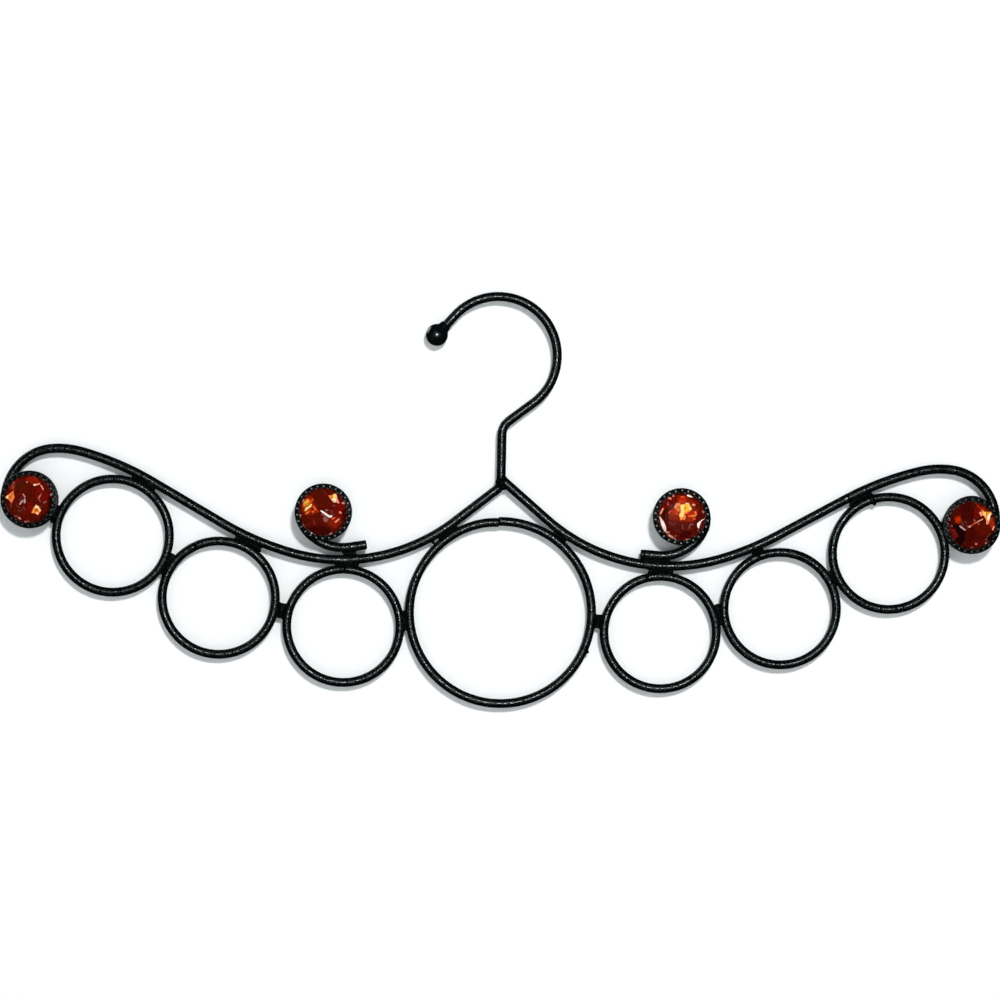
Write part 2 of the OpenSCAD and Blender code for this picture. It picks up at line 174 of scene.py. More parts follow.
def circle_rim(mesh, radius, sides, place):
    """Draws a circle, and returns what spin is given and the circle's edges alone."""
    made = bmesh.ops.create_circle(mesh, cap_ends=False, radius=radius, segments=sides, matrix=place)
    edges = list({edge for vert in made["verts"] for edge in vert.link_edges})
    return list(made["verts"]) + edges, edges


def rim_after(spun):
    """The rim at the far end of a spin, and its edges alone."""
    rim = [g for g in spun["geom_last"] if isinstance(g, (bmesh.types.BMVert, bmesh.types.BMEdge))]
    return rim, [g for g in rim if isinstance(g, bmesh.types.BMEdge)]


def cap_wire_end(mesh, edges, softness):
    lid = bmesh.ops.contextual_create(mesh, geom=edges)["faces"]
    bmesh.ops.bevel(mesh, geom=list(lid[0].edges), offset=softness, segments=3, profile=0.5, affect="EDGES",
                    material=-1)


def push_wire(mesh, start, stretches, diameter):
    """Adds a wire to the mesh, in millimetres and in the XZ plane."""
    poses = follow(start, stretches)
    x, z, heading = poses[0]
    face_along = (Matrix.Translation((x, 0, z)) @ Matrix.Rotation(-heading, 4, "Y")
                  @ Matrix.Rotation(math.radians(90), 4, "Y"))
    rim, first_edges = circle_rim(mesh, diameter / 2, WIRE_SIDES, face_along)
    for (size, turn), (x, z, heading) in zip(stretches, poses):
        length = size if turn == 0 else size * math.radians(abs(turn))
        steps = max(1, round(length / WIRE_STEP))
        if turn == 0:
            ahead = Vector((math.cos(heading), 0, math.sin(heading))) * size
            spun = bmesh.ops.spin(mesh, geom=rim, cent=(x, 0, z), axis=(0, 1, 0), dvec=ahead / steps, angle=0,
                                  steps=steps)
        else:
            cx, cz = bend_centre(x, z, heading, size, turn)
            spun = bmesh.ops.spin(mesh, geom=rim, cent=(cx, 0, cz), axis=(0, -1, 0), angle=math.radians(turn),
                                  steps=steps)
        rim, last_edges = rim_after(spun)
    cap_wire_end(mesh, first_edges, END_SOFTNESS)
    cap_wire_end(mesh, last_edges, END_SOFTNESS)


def to_side(mesh, side):
    """Moves a mesh drawn outwards from the centre ring to its side of the hanger."""
    bmesh.ops.scale(mesh, vec=(SIDES[side], 1, 1), verts=mesh.verts)
    bmesh.ops.translate(mesh, vec=(RING_ROW_X, 0, RING_ROW_Z), verts=mesh.verts)


def mesh_object(mesh, name, material):
    data = bpy.data.meshes.new(name)
    mesh.to_mesh(data)
    mesh.free()
    data.materials.append(material)
    made = bpy.data.objects.new(name, data)
    bpy.context.collection.objects.link(made)
    return made


def finish_piece(mesh, name, material, nodes, smooth_below=40):
    """Turns millimetres into metres, makes the object on the root body and hides the solids it stands for."""
    bmesh.ops.scale(mesh, vec=(MM, MM, MM), verts=mesh.verts)
    bmesh.ops.recalc_face_normals(mesh, faces=mesh.faces)
    for face in mesh.faces:
        face.smooth = smooth_below > 0
    for edge in mesh.edges:
        edge.smooth = not edge.is_manifold or edge.calc_face_angle(0) < math.radians(smooth_below)
    piece = mesh_object(mesh, name, material)
    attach(piece, "root")
    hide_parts(*nodes)
    print(name, "faces:", len(piece.data.polygons), "size, mm:", [round(d / MM, 1) for d in piece.dimensions])
    return piece


# %% [markdown]
# ## The black coating
#
# The wire is covered with a glossy black coating that is thick enough to soften every edge. It isn't smooth:
# the photograph shows the reflection of the lamp as a thin line that breaks into short dashes, because the
# surface rolls gently and has fine pits. A bump from two patterns does that: a slow noise for the roll and
# small cells for the pits. The group also gives out where the coating shines. It is rougher in the pits and
# wherever the slow noise is low, and there the line of light fades. The same relief is wanted on wires, ball,
# cups and welds at different strengths, so it is a node group.

# %% Coating relief
def new_group(name, inputs, outputs):
    group = bpy.data.node_groups.new(name, "ShaderNodeTree")
    for label, kind, value in inputs:
        socket = group.interface.new_socket(label, in_out="INPUT", socket_type=kind)
        if value is not None:
            socket.default_value = value
    for label, kind in outputs:
        group.interface.new_socket(label, in_out="OUTPUT", socket_type=kind)
    return group, group.nodes.new("NodeGroupInput"), group.nodes.new("NodeGroupOutput")


def add_node(tree, kind, values=None, **settings):
    made = tree.nodes.new(kind)
    for key, value in settings.items():
        setattr(made, key, value)
    for key, value in (values or {}).items():
        made.inputs[key].default_value = value
    return made


def coating_relief_group():
    group, given, result = new_group(
        "coating relief",
        [("Position", "NodeSocketVector", None), ("Roll Size", "NodeSocketFloat", 700.0),
         ("Pit Size", "NodeSocketFloat", 2600.0), ("Pit Share", "NodeSocketFloat", 0.35)],
        [("Height", "NodeSocketFloat"), ("Pits", "NodeSocketFloat"), ("Shine", "NodeSocketFloat")],
    )
    link = group.links.new
    roll = add_node(group, "ShaderNodeTexNoise", {"Detail": 2.0, "Roughness": 0.5})
    pits = add_node(group, "ShaderNodeTexVoronoi", feature="F1")
    pit_mask = add_node(group, "ShaderNodeMapRange", {"From Min": 0.12, "From Max": 0.34})
    share = add_node(group, "ShaderNodeMath", operation="MULTIPLY")
    total = add_node(group, "ShaderNodeMath", operation="ADD")
    patches = add_node(group, "ShaderNodeMapRange", {"From Min": 0.42, "From Max": 0.56})
    shine = add_node(group, "ShaderNodeMath", operation="MULTIPLY")
    link(given.outputs["Position"], roll.inputs["Vector"])
    link(given.outputs["Roll Size"], roll.inputs["Scale"])
    link(given.outputs["Position"], pits.inputs["Vector"])
    link(given.outputs["Pit Size"], pits.inputs["Scale"])
    link(pits.outputs["Distance"], pit_mask.inputs["Value"])
    link(pit_mask.outputs["Result"], share.inputs[0])
    link(given.outputs["Pit Share"], share.inputs[1])
    link(roll.outputs["Fac"], total.inputs[0])
    link(share.outputs["Value"], total.inputs[1])
    link(total.outputs["Value"], result.inputs["Height"])
    link(pit_mask.outputs["Result"], result.inputs["Pits"])
    link(roll.outputs["Fac"], patches.inputs["Value"])
    link(patches.outputs["Result"], shine.inputs[0])
    link(pit_mask.outputs["Result"], shine.inputs[1])
    link(shine.outputs["Value"], result.inputs["Shine"])
    return group


COATING_RELIEF = coating_relief_group()


DULL_PATCHES = 0.25
COAT_ROUGHNESS = 0.12


def new_material(name):
    material = bpy.data.materials.new(name)
    material.use_nodes = True
    return material, material.node_tree, material.node_tree.nodes["Principled BSDF"]


def coated_metal(name, colour, dusty, roughness, roll, pit, pit_share, strength, depth, coat=0.0,
                 specular=0.5):
    """A black coating: colour on its skin, dusty colour in its pits, and duller where it doesn't shine."""
    material, tree, shader = new_material(name)
    where = add_node(tree, "ShaderNodeTexCoord")
    relief = add_node(tree, "ShaderNodeGroup", node_tree=COATING_RELIEF)
    relief.inputs["Roll Size"].default_value = roll
    relief.inputs["Pit Size"].default_value = pit
    relief.inputs["Pit Share"].default_value = pit_share
    bump = add_node(tree, "ShaderNodeBump", {"Strength": strength, "Distance": depth})
    tint = add_node(tree, "ShaderNodeMix", data_type="RGBA")
    tint.inputs["A"].default_value = (*dusty, 1)
    tint.inputs["B"].default_value = (*colour, 1)
    gloss = add_node(tree, "ShaderNodeMapRange", {"To Min": roughness + DULL_PATCHES, "To Max": roughness})
    link = tree.links.new
    link(where.outputs["Object"], relief.inputs["Position"])
    link(relief.outputs["Height"], bump.inputs["Height"])
    link(bump.outputs["Normal"], shader.inputs["Normal"])
    link(relief.outputs["Pits"], tint.inputs["Factor"])
    link(tint.outputs["Result"], shader.inputs["Base Color"])
    link(relief.outputs["Shine"], gloss.inputs["Value"])
    link(gloss.outputs["Result"], shader.inputs["Roughness"])
    shader.inputs["Specular IOR Level"].default_value = specular
    shader.inputs["Coat Weight"].default_value = coat
    shader.inputs["Coat Roughness"].default_value = COAT_ROUGHNESS
    return material


COATED_WIRE = coated_metal("coated wire", colour=(0.0003, 0.0012, 0.0012), dusty=(0.001, 0.003, 0.003),
                           roughness=0.18, roll=800, pit=1100, pit_share=0.7, strength=0.9, depth=0.0002,
                           specular=0.45)
COATED_WELD = coated_metal("coated weld", colour=(0.0005, 0.0014, 0.0014), dusty=(0.0008, 0.002, 0.002),
                           roughness=0.35, roll=900, pit=1500, pit_share=0.5, strength=0.5, depth=0.0001,
                           specular=0.04)
print("coatings:", COATED_WIRE.name, COATED_WELD.name)

# %% [markdown]
# ## Hook, arms and scrolls
#
# The hook is one wire: up the stem, over at the knee, along the short neck, round the arc and down to the
# ball. Each arm starts at the apex, sags over the first ring, rises over the second, and drops round the end
# into the eye that carries a cup. The scrolls lie on the arms with their cut ends facing the middle.

# %% Hook, arms and scrolls
wire_mesh = bmesh.new()
push_wire(wire_mesh, *HOOK, HOOK_WIRE)
finish_piece(wire_mesh, "hook", COATED_WIRE, ["hook_wire"])

for side in SIDES:
    for word, routes in (("arm", ARMS), ("scroll", SCROLLS)):
        wire_mesh = bmesh.new()
        push_wire(wire_mesh, *routes[side], ARM_WIRE)
        to_side(wire_mesh, side)
        finish_piece(wire_mesh, f"{side}_{word}_wire", COATED_WIRE, [f"{side}_{word}"])

# %% [markdown]
# ## The rings
#
# A ring is wire turned round a mandrel, cut and welded shut, so a spin of a circle makes it. On the centre
# ring the two ends don't quite meet: the left end sits half a millimetre low beside the seam. Points near the
# seam on that side are drawn inwards a little, and the shift fades out along the wire.

# %% Rings
RING_RADII = {"left": [41.8, 26, 26, 26], "right": [41.8, 25.8, 25.8, 25.8]}
BEARINGS = {"left": [-6, 11.6, 29.2], "right": [-6, 12.4, 28.2]}
GAPS = {"left": [0.5, 2.5, 0.3], "right": [2.15, 0.5, 0.2]}
SEAMS = {"left": [92, 90, 64, 90], "right": [92, 104.5, 113, 107]}
RING_WORDS = ["centre", "inner", "middle", "outer"]
SEAM_GAP, SEAM_SOFTNESS = 0.35, 0.3
LOW_END, LOW_END_REACH = 0.5, 14
RING_STEPS_PER_MM = 3.26


def ring_centre(side, number):
    x = z = 0.0
    for n in range(number):
        reach = RING_RADII[side][n] + RING_RADII[side][n + 1] + RING_WIRE + GAPS[side][n]
        x += reach * math.cos(math.radians(BEARINGS[side][n]))
        z += reach * math.sin(math.radians(BEARINGS[side][n]))
    return x, z


def ring_mesh(side, number):
    mesh = bmesh.new()
    cx, cz = ring_centre(side, number)
    radius = RING_RADII[side][number]
    seam = math.radians(SEAMS[side][number])
    gap = SEAM_GAP / radius
    start = (Matrix.Translation((cx, 0, cz)) @ Matrix.Rotation(-(seam + gap / 2), 4, "Y")
             @ Matrix.Translation((radius, 0, 0)))
    rim, first_edges = circle_rim(mesh, RING_WIRE / 2, WIRE_SIDES, start)
    _, last_edges = rim_after(bmesh.ops.spin(
        mesh, geom=rim, cent=(cx, 0, cz), axis=(0, -1, 0), angle=2 * math.pi - gap,
        steps=round(radius * RING_STEPS_PER_MM)))
    cap_wire_end(mesh, first_edges, SEAM_SOFTNESS)
    cap_wire_end(mesh, last_edges, SEAM_SOFTNESS)
    return mesh


def lower_one_end(mesh, radius, seam):
    """Draws the wire inwards on the left of the seam of a ring round the origin."""
    for vert in mesh.verts:
        beyond = (math.atan2(vert.co.z, vert.co.x) - math.radians(seam)) * radius
        if 0 < beyond < LOW_END_REACH:
            pull = LOW_END * (1 - beyond / LOW_END_REACH) ** 2 / radius
            vert.co -= Vector((vert.co.x, 0, vert.co.z)) * pull


rings = [("right", 0)] + [(side, number) for side in SIDES for number in (1, 2, 3)]
for side, number in rings:
    node = "centre_ring" if number == 0 else f"{side}_{RING_WORDS[number]}_ring"
    mesh = ring_mesh(side, number)
    if number == 0:
        lower_one_end(mesh, RING_RADII[side][0], SEAMS[side][0])
    to_side(mesh, side)
    finish_piece(mesh, node.replace("ring", "hoop"), COATED_WIRE, [node])

# %% [markdown]
# ## The ball
#
# The ball is pressed on the hook's end and has a short neck ring round the wire. It is a turned shape, so
# half of its outline is drawn as a chain of points and spun once round. The chain is written by rule: most of
# half a circle, and then a small fillet up to the neck ring.

# %% Ball
def turned_shape(outline, sides, place):
    """Spins an outline of (radius, height) points round the +Z axis of place."""
    mesh = bmesh.new()
    points = [mesh.verts.new((r, 0, h)) for r, h in outline]
    edges = [mesh.edges.new(pair) for pair in zip(points, points[1:])]
    bmesh.ops.spin(mesh, geom=points + edges, cent=(0, 0, 0), axis=(0, 0, 1), angle=2 * math.pi, steps=sides,
                   use_merge=True)
    bmesh.ops.remove_doubles(mesh, verts=mesh.verts, dist=0.001)
    bmesh.ops.transform(mesh, matrix=place, verts=mesh.verts)
    return mesh


COATED_BALL = coated_metal("coated ball", colour=(0.001, 0.0025, 0.0025), dusty=(0.003, 0.005, 0.005),
                           roughness=0.12, roll=300, pit=900, pit_share=0.2, strength=0.35, depth=0.00006,
                           coat=0.6)
BALL_RADIUS = BALL_DIAMETER / 2
NECK_RING_RADIUS = HOOK_WIRE / 2 + 0.5
neck_angle = math.asin((NECK_RING_RADIUS + 0.25) / BALL_RADIUS)
neck_height = HOOK_TAIL - BALL_RADIUS
outline = [(BALL_RADIUS * math.sin(a), HOOK_TAIL - BALL_RADIUS * math.cos(a))
           for a in (math.pi - n * (math.pi - neck_angle) / 30 for n in range(31))]
outline += [(NECK_RING_RADIUS + 0.08, neck_height - 0.05), (NECK_RING_RADIUS, neck_height - 0.4),
            (NECK_RING_RADIUS - 0.05, neck_height - 1.0), (NECK_RING_RADIUS - 0.3, neck_height - 1.3),
            (HOOK_WIRE / 2 - 0.05, neck_height - 1.45)]
tail = follow(*HOOK)[4]
along_tail = Matrix.Translation((tail[0], 0, tail[1])) @ Matrix.Rotation(math.radians(90) - tail[2], 4, "Y")
ball_mesh = turned_shape(outline, 40, along_tail)
finish_piece(ball_mesh, "ball", COATED_BALL, ["hook_ball"], 50)

# %% [markdown]
# ## The welds
#
# Every place where two wires touch is welded, and the coating runs over the weld. A weld bead is a lump that
# bites into both wires with a wavy skin. Each bead starts as a ball that is stretched along the joint, and a
# slow noise pushes its skin in and out. The beads of one node are then fused and softened with a voxel
# remesh, which is the quick way to blend lumps that overlap.

# %% Weld beads
def add_bead(mesh, centre, bearing, sizes, roughness=0.12, detail=3):
    """A lump with its three half sizes: across the joint, front to back and along the joint."""
    place = (Matrix.Translation((centre[0], 0, centre[1])) @ Matrix.Rotation(-math.radians(bearing), 4, "Y")
             @ Matrix.Diagonal((*sizes, 1)))
    made = bmesh.ops.create_icosphere(mesh, subdivisions=detail, radius=1, matrix=place)
    middle = Vector((centre[0], 0, centre[1]))
    for vert in made["verts"]:
        push = noise.noise(vert.co * 0.9) + 0.5 * noise.noise(vert.co * 2.1)
        vert.co += (vert.co - middle).normalized() * push * roughness * 2


def fuse_beads(piece, voxel):
    remesh = piece.modifiers.new("fuse", "REMESH")
    remesh.mode = "VOXEL"
    remesh.voxel_size = voxel * MM
    remesh.use_smooth_shade = True
    soften = piece.modifiers.new("soften", "SMOOTH")
    soften.factor = 0.5
    soften.iterations = 3


def nearest_on_wire(route, target):
    """The point of a wire's centre line that is nearest to a target, by walking along it up to its eye."""
    stretches = route[1][:-1]
    points = []
    for (size, turn), (x, z, heading) in zip(stretches, follow(*route)):
        points.append((x, z))
        for n in range(1, 61):
            walked = (size * n / 60, 0) if turn == 0 else (size, turn * n / 60)
            points.append(follow((x, z, math.degrees(heading)), [walked])[-1][:2])
    return min(points, key=lambda point: math.dist(point, target))


def joint_between(p, reach_p, q, reach_q):
    """Middle of the gap between two round things, its bearing and its width."""
    distance = math.hypot(q[0] - p[0], q[1] - p[1])
    bearing = math.degrees(math.atan2(q[1] - p[1], q[0] - p[0]))
    gap = distance - reach_p - reach_q
    at = (reach_p + gap / 2) / distance
    return (p[0] + (q[0] - p[0]) * at, p[1] + (q[1] - p[1]) * at), bearing, gap


def join_meshes(parts):
    """Puts the meshes of several parts into one."""
    whole = bmesh.new()
    for part in parts:
        carried = bpy.data.meshes.new("carried")
        part.to_mesh(carried)
        part.free()
        whole.from_mesh(carried)
        bpy.data.meshes.remove(carried)
    return whole


# %% [markdown]
# ### Where the metal ran
#
# A welder fills the groove beside the point where two wires are closest, often more on one side of it than on
# the other. So a weld has a length and a shift along the joint, and is made of a row of small beads. Each
# bead is as wide as the gap at its own place. Two thin beads at each end run a little further along the two
# wires, which gives the hollow ends of a real fillet. Spatter and drips are single beads: two burrs on the
# right of the centre ring and on the last ring, and a small bridge between the left arm and the centre ring.

# %% Weld rows
HALF_RING, HALF_ARM = RING_WIRE / 2, ARM_WIRE / 2
BEAD_SPACING, BITE, HALF_DEPTH = 1.1, 0.8, 1.45


def add_weld(mesh, middle, reach, other, other_reach, length, shift, bow):
    """A row of beads in the groove between two wires. Bow is how fast the groove opens."""
    at, bearing, gap = joint_between(middle, reach, other, other_reach)
    heading = math.radians(bearing)

    def place_of(across, along):
        return (at[0] + across * math.cos(heading) - along * math.sin(heading),
                at[1] + across * math.sin(heading) + along * math.cos(heading))

    count = max(3, round(length / BEAD_SPACING))
    for n in range(count):
        from_middle = (n + 0.5) / count - 0.5
        along = shift + length * from_middle
        half_width = gap / 2 + along * along * bow + BITE
        half_depth = HALF_DEPTH * (1 - 1.4 * from_middle ** 2)
        add_bead(mesh, place_of(0, along), bearing, (half_width, half_depth, length / count * 0.95), 0.07, 2)
    for along in (shift - length / 2, shift + length / 2):
        for bank in (-1, 1):
            across = bank * (gap / 2 + along * along * bow + 0.15)
            add_bead(mesh, place_of(across, along), bearing, (0.6, 1.2, 1.1), 0.05, 2)


# Each weld is (length, shift). A scroll's weld is (length, distance from the scroll's cut end).
RING_WELDS = {"left": [(8.4, 0), (6.4, 0.5), (10, 1.4)], "right": [(5.4, 1.6), (8.6, 3.0), (6.4, 1.6)]}
ARM_WELDS = {"left": [(8.4, 0), (9.2, 1.2), (12, 2.0), (10.5, 0.9)],
             "right": [(5.4, -0.8), (10, 0.4), (4, -1.0), (10.5, 1.2)]}
SCROLL_WELDS = {"left": (5, 8.2), "right": (12, 7)}
SCROLL_BOW = 0.006
BURRS = [(39.9, -17.2), (170.5, 53.6)]
BRIDGE = (31.9, 31.9)
ring_parts, arm_parts, scroll_parts = [], [], []
for side in SIDES:
    part = bmesh.new()
    radii = RING_RADII[side]
    for n, (length, shift) in enumerate(RING_WELDS[side]):
        add_weld(part, ring_centre(side, n), radii[n] + HALF_RING, ring_centre(side, n + 1),
                 radii[n + 1] + HALF_RING, length, shift, 0.5 / radii[1] + 0.5 / radii[n])
    if side == "right":
        for spot in BURRS:
            add_bead(part, spot, 0, (1.1, 1.2, 1.1), 0.1)
    to_side(part, side)
    ring_parts.append(part)
    part = bmesh.new()
    for n, (length, shift) in enumerate(ARM_WELDS[side]):
        middle = ring_centre(side, n)
        near = nearest_on_wire(ARMS[side], middle)
        add_weld(part, middle, radii[n] + HALF_RING, near, HALF_ARM, length, shift, 0.25 / radii[n])
    if side == "left":
        add_bead(part, BRIDGE, 45, (1.9, 1.2, 0.7), 0.05)
    to_side(part, side)
    arm_parts.append(part)
    part = bmesh.new()
    start = SCROLLS[side][0]
    length, along = SCROLL_WELDS[side]
    place = nearest_on_wire(SCROLLS[side], (start[0] + along, start[1]))
    near = nearest_on_wire(ARMS[side], place)
    add_weld(part, near, HALF_ARM, place, HALF_ARM, length, 0, SCROLL_BOW)
    to_side(part, side)
    scroll_parts.append(part)

for parts, name in ((ring_parts, "ring_welds"), (arm_parts, "arm_welds"), (scroll_parts, "scroll_welds")):
    beads = name.replace("welds", "beads")
    piece = finish_piece(join_meshes(parts), beads, COATED_WELD, [name], 180)
    fuse_beads(piece, voxel=0.28)

# %% [markdown]
# ### The apex
#
# The stem and the left arm run into the end of the right arm. The weld fills the corner between the stem and
# each arm and rounds off under the three ends.

# %% Apex weld
APEX_BEADS = [
    ((-0.7, 59.3), 0, (2.3, 1.9, 2.6)),
    ((0.5, 61.8), -41, (1.7, 1.4, 1.1)),
    ((-2.4, 60.5), 65, (1.9, 1.4, 1.0)),
    ((0.2, 57.4), 0, (2.4, 1.6, 1.3)),
]
apex_mesh = bmesh.new()
for place, bearing, sizes in APEX_BEADS:
    add_bead(apex_mesh, place, bearing, sizes, 0.04)
to_side(apex_mesh, "right")
piece = finish_piece(apex_mesh, "apex_bead", COATED_WELD, ["apex_weld"], 180)
fuse_beads(piece, voxel=0.3)

# %% [markdown]
# ### Closing the rings
#
# A ring's two ends are joined by a butt weld. It is hardly wider than the wire, so each one is a flat round
# bead that fills the small gap at the seam.

# %% Closing welds of the rings
CLOSING_HALF_LENGTH = 0.42
closing_parts = []
for side, number in rings:
    part = bmesh.new()
    cx, cz = ring_centre(side, number)
    seam = math.radians(SEAMS[side][number])
    radius = RING_RADII[side][number]
    at = (cx + radius * math.cos(seam), cz + radius * math.sin(seam))
    sizes = (CLOSING_HALF_LENGTH, HALF_RING + 0.02, HALF_RING + 0.02)
    add_bead(part, at, SEAMS[side][number] + 90, sizes, 0.05)
    to_side(part, side)
    closing_parts.append(part)
finish_piece(join_meshes(closing_parts), "ring_closings", COATED_WELD, ["ring_seams"], 180)

# %% [markdown]
# ## Solder behind the cups
#
# Each cup is soldered to the wire eye behind it. From the back the solder shows as an uneven ring between the
# eye and the flat cup. It is a spun ring with its skin pushed about by noise, flattened so that it stays
# under the cup. The eye of each arm is also welded to the last ring, a little below the closest point on the
# left and above it on the right.

# %% Solder beds
CUP_BACK = ARM_WIRE / 2 + 0.15
SOLDER_DEPTH, SOLDER_SHAPE = -1.85, (1.5, 0.42, 1, 1)
EYE_WELD_DROP = {"left": 1.6, "right": -0.8}


def eye_centre(route):
    here = follow(*route)[-2]
    return bend_centre(*here, *route[1][-1])


def eye_radius(route):
    return route[1][-1][0]


def solder_ring(mesh, centre, radius):
    start = Matrix.Translation((centre[0] + radius, SOLDER_DEPTH, centre[1])) @ Matrix.Diagonal(SOLDER_SHAPE)
    rim, _ = circle_rim(mesh, 1, 12, start)
    bmesh.ops.spin(mesh, geom=rim, cent=(centre[0], 0, centre[1]), axis=(0, -1, 0), angle=2 * math.pi,
                   steps=72, use_merge=True)
    bmesh.ops.remove_doubles(mesh, verts=mesh.verts, dist=0.001)
    for vert in mesh.verts:
        out = Vector((vert.co.x - centre[0], 0, vert.co.z - centre[1]))
        vert.co += out.normalized() * (out.length - radius) * 0.5 * noise.noise(vert.co * 0.5)


solder_parts = []
for side in SIDES:
    for route in (ARMS[side], SCROLLS[side]):
        part = bmesh.new()
        centre = eye_centre(route)
        solder_ring(part, centre, eye_radius(route))
        if route is ARMS[side]:
            at, bearing, gap = joint_between(ring_centre(side, 3), RING_RADII[side][3] + HALF_RING, centre,
                                             eye_radius(route) + HALF_ARM)
            drop, heading = EYE_WELD_DROP[side], math.radians(bearing)
            spot = (at[0] + drop * math.sin(heading), at[1] - drop * math.cos(heading))
            add_bead(part, spot, bearing, (1.3 + gap / 2, 1.5, 4.6), 0.1)
        to_side(part, side)
        solder_parts.append(part)
finish_piece(join_meshes(solder_parts), "cup_solder", COATED_WELD, ["cup_welds"], 180)

# %% [markdown]
# ## The cups
#
# A cup is a shallow pressed bezel. Its rim is milled into a row of little teeth that are folded over the
# jewel's edge, and the lamp catches each tooth as a short dash close to the stone. The bowl is a turned
# shape. One tooth is a small block whose top falls away outwards, so that only its rounded inner end faces
# the lamp, and a spin that duplicates it makes the whole row. The outer cups sit a little off the middle of
# their eyes.

# %% Cups
CUP_RADIUS = 13.1
CUP_OFFSETS = {"left": (0.5, -0.2), "right": (1, 0.9)}
TEETH = 26
TOOTH_SIZES, TOOTH_FALL, TOOTH_SOFTNESS = (2, 2.15, 0.8), 0.75, 0.22
TOOTH_INSET, TOOTH_HEIGHT = 1.35, 4.5
CUPS = {}
for side in SIDES:
    eye = eye_centre(ARMS[side])
    inwards, downwards = CUP_OFFSETS[side]
    CUPS[f"{side}_outer"] = (side, (eye[0] - inwards, eye[1] - downwards))
    CUPS[f"{side}_inner"] = (side, eye_centre(SCROLLS[side]))


def facing_front(centre):
    """Stands a piece at a place of a side with its +Z to the front."""
    return Matrix.Translation((centre[0], -CUP_BACK, centre[1])) @ Matrix.Rotation(math.radians(90), 4, "X")


def cup_bowl(place):
    r = CUP_RADIUS
    outline = [(0, 0), (r - 1.0, 0), (r - 0.45, 0.12), (r - 0.12, 0.45), (r, 1.0), (r, 2.4), (r, 3.7),
               (r - 0.04, 4.15), (r - 0.2, 4.45), (r - 0.45, 4.5), (r - 0.68, 4.35), (r - 0.7, 3.9),
               (r - 0.7, 0.8), (0, 0.8)]
    return turned_shape(outline, 104, place)


def cup_teeth(place):
    mesh = bmesh.new()
    made = bmesh.ops.create_cube(mesh, size=1)
    bmesh.ops.scale(mesh, vec=TOOTH_SIZES, verts=made["verts"])
    for vert in mesh.verts:
        if vert.co.x > 0:
            vert.co.z -= TOOTH_FALL
    bmesh.ops.bevel(mesh, geom=list(mesh.edges), offset=TOOTH_SOFTNESS, segments=3, profile=0.5,
                    affect="EDGES", material=-1)
    bmesh.ops.translate(mesh, vec=(CUP_RADIUS - TOOTH_INSET, 0, TOOTH_HEIGHT), verts=mesh.verts)
    first = list(mesh.verts) + list(mesh.edges) + list(mesh.faces)
    bmesh.ops.spin(mesh, geom=first, cent=(0, 0, 0), axis=(0, 0, 1), angle=2 * math.pi, steps=TEETH,
                   use_duplicate=True)
    bmesh.ops.delete(mesh, geom=[g for g in first if isinstance(g, bmesh.types.BMVert)], context="VERTS")
    bmesh.ops.transform(mesh, matrix=place, verts=mesh.verts)
    return mesh


COATED_CUP = coated_metal("coated cup", colour=(0.0005, 0.0014, 0.0014), dusty=(0.0015, 0.003, 0.003),
                          roughness=0.24, roll=500, pit=1300, pit_share=0.3, strength=0.4, depth=0.0001,
                          specular=0.22)
WORN_TEETH = coated_metal("worn teeth", colour=(0.0006, 0.0014, 0.0014), dusty=(0.002, 0.004, 0.004),
                          roughness=0.16, roll=700, pit=1800, pit_share=0.5, strength=0.5, depth=0.0001)
for name, (side, centre) in CUPS.items():
    bowl = cup_bowl(facing_front(centre))
    to_side(bowl, side)
    finish_piece(bowl, f"{name}_bowl", COATED_CUP, [f"{name}_cup"])
    teeth = cup_teeth(facing_front(centre))
    to_side(teeth, side)
    finish_piece(teeth, f"{name}_teeth", WORN_TEETH, [f"{name}_cup"])

# %% [markdown]
# ## The jewels
#
# The jewels are clear dark amber acrylic with a foiled back. Light that falls in is thrown back by a few
# facets of the foil at a time, so each stone shows a few cream and orange flashes on a deep red-brown body,
# and they are in other places on each stone. Real refraction would move the flashes to places that nobody can
# choose. So the outside is a true faceted crown, wrapped round rings of points with a convex hull, and the
# flashes are cut into it as painted reflections: each is an outline in millimetres, and the faces inside it
# carry its colour in a colour attribute. The dark patches where the stone lies in shade are painted shade,
# cut and coloured in the same way.

# %% Jewel shape
JEWEL_RADIUS = 11.75
GIRDLE_FRONT, GIRDLE_BACK = 3.489, 2.889
TABLE_SHARE, TABLE_HEIGHT = 0.66, 2.4
CROWN_SHARE, CROWN_HEIGHT = 0.87, 1.25
BACK_DEPTH = 1.7
TURNS = {"left_outer": 22.5, "left_inner": 12, "right_inner": 0, "right_outer": 35}


def ring_of_points(mesh, radius, height, count, turn):
    place = Matrix.Translation((0, 0, height)) @ Matrix.Rotation(math.radians(turn), 4, "Z")
    bmesh.ops.create_circle(mesh, cap_ends=False, radius=radius, segments=count, matrix=place)


def crown_and_back(turn):
    mesh = bmesh.new()
    ring_of_points(mesh, JEWEL_RADIUS * TABLE_SHARE, GIRDLE_FRONT + TABLE_HEIGHT, 8, turn)
    ring_of_points(mesh, JEWEL_RADIUS * CROWN_SHARE, GIRDLE_FRONT + CROWN_HEIGHT, 8, turn + 22.5)
    ring_of_points(mesh, JEWEL_RADIUS, GIRDLE_FRONT, 16, turn)
    ring_of_points(mesh, JEWEL_RADIUS, GIRDLE_BACK, 16, turn)
    mesh.verts.new((0, 0, GIRDLE_BACK - BACK_DEPTH))
    bmesh.ops.delete(mesh, geom=list(mesh.edges), context="EDGES_FACES")
    bmesh.ops.convex_hull(mesh, input=list(mesh.verts))
    bmesh.ops.dissolve_limit(mesh, angle_limit=math.radians(0.5), verts=mesh.verts, edges=mesh.edges)
    return mesh


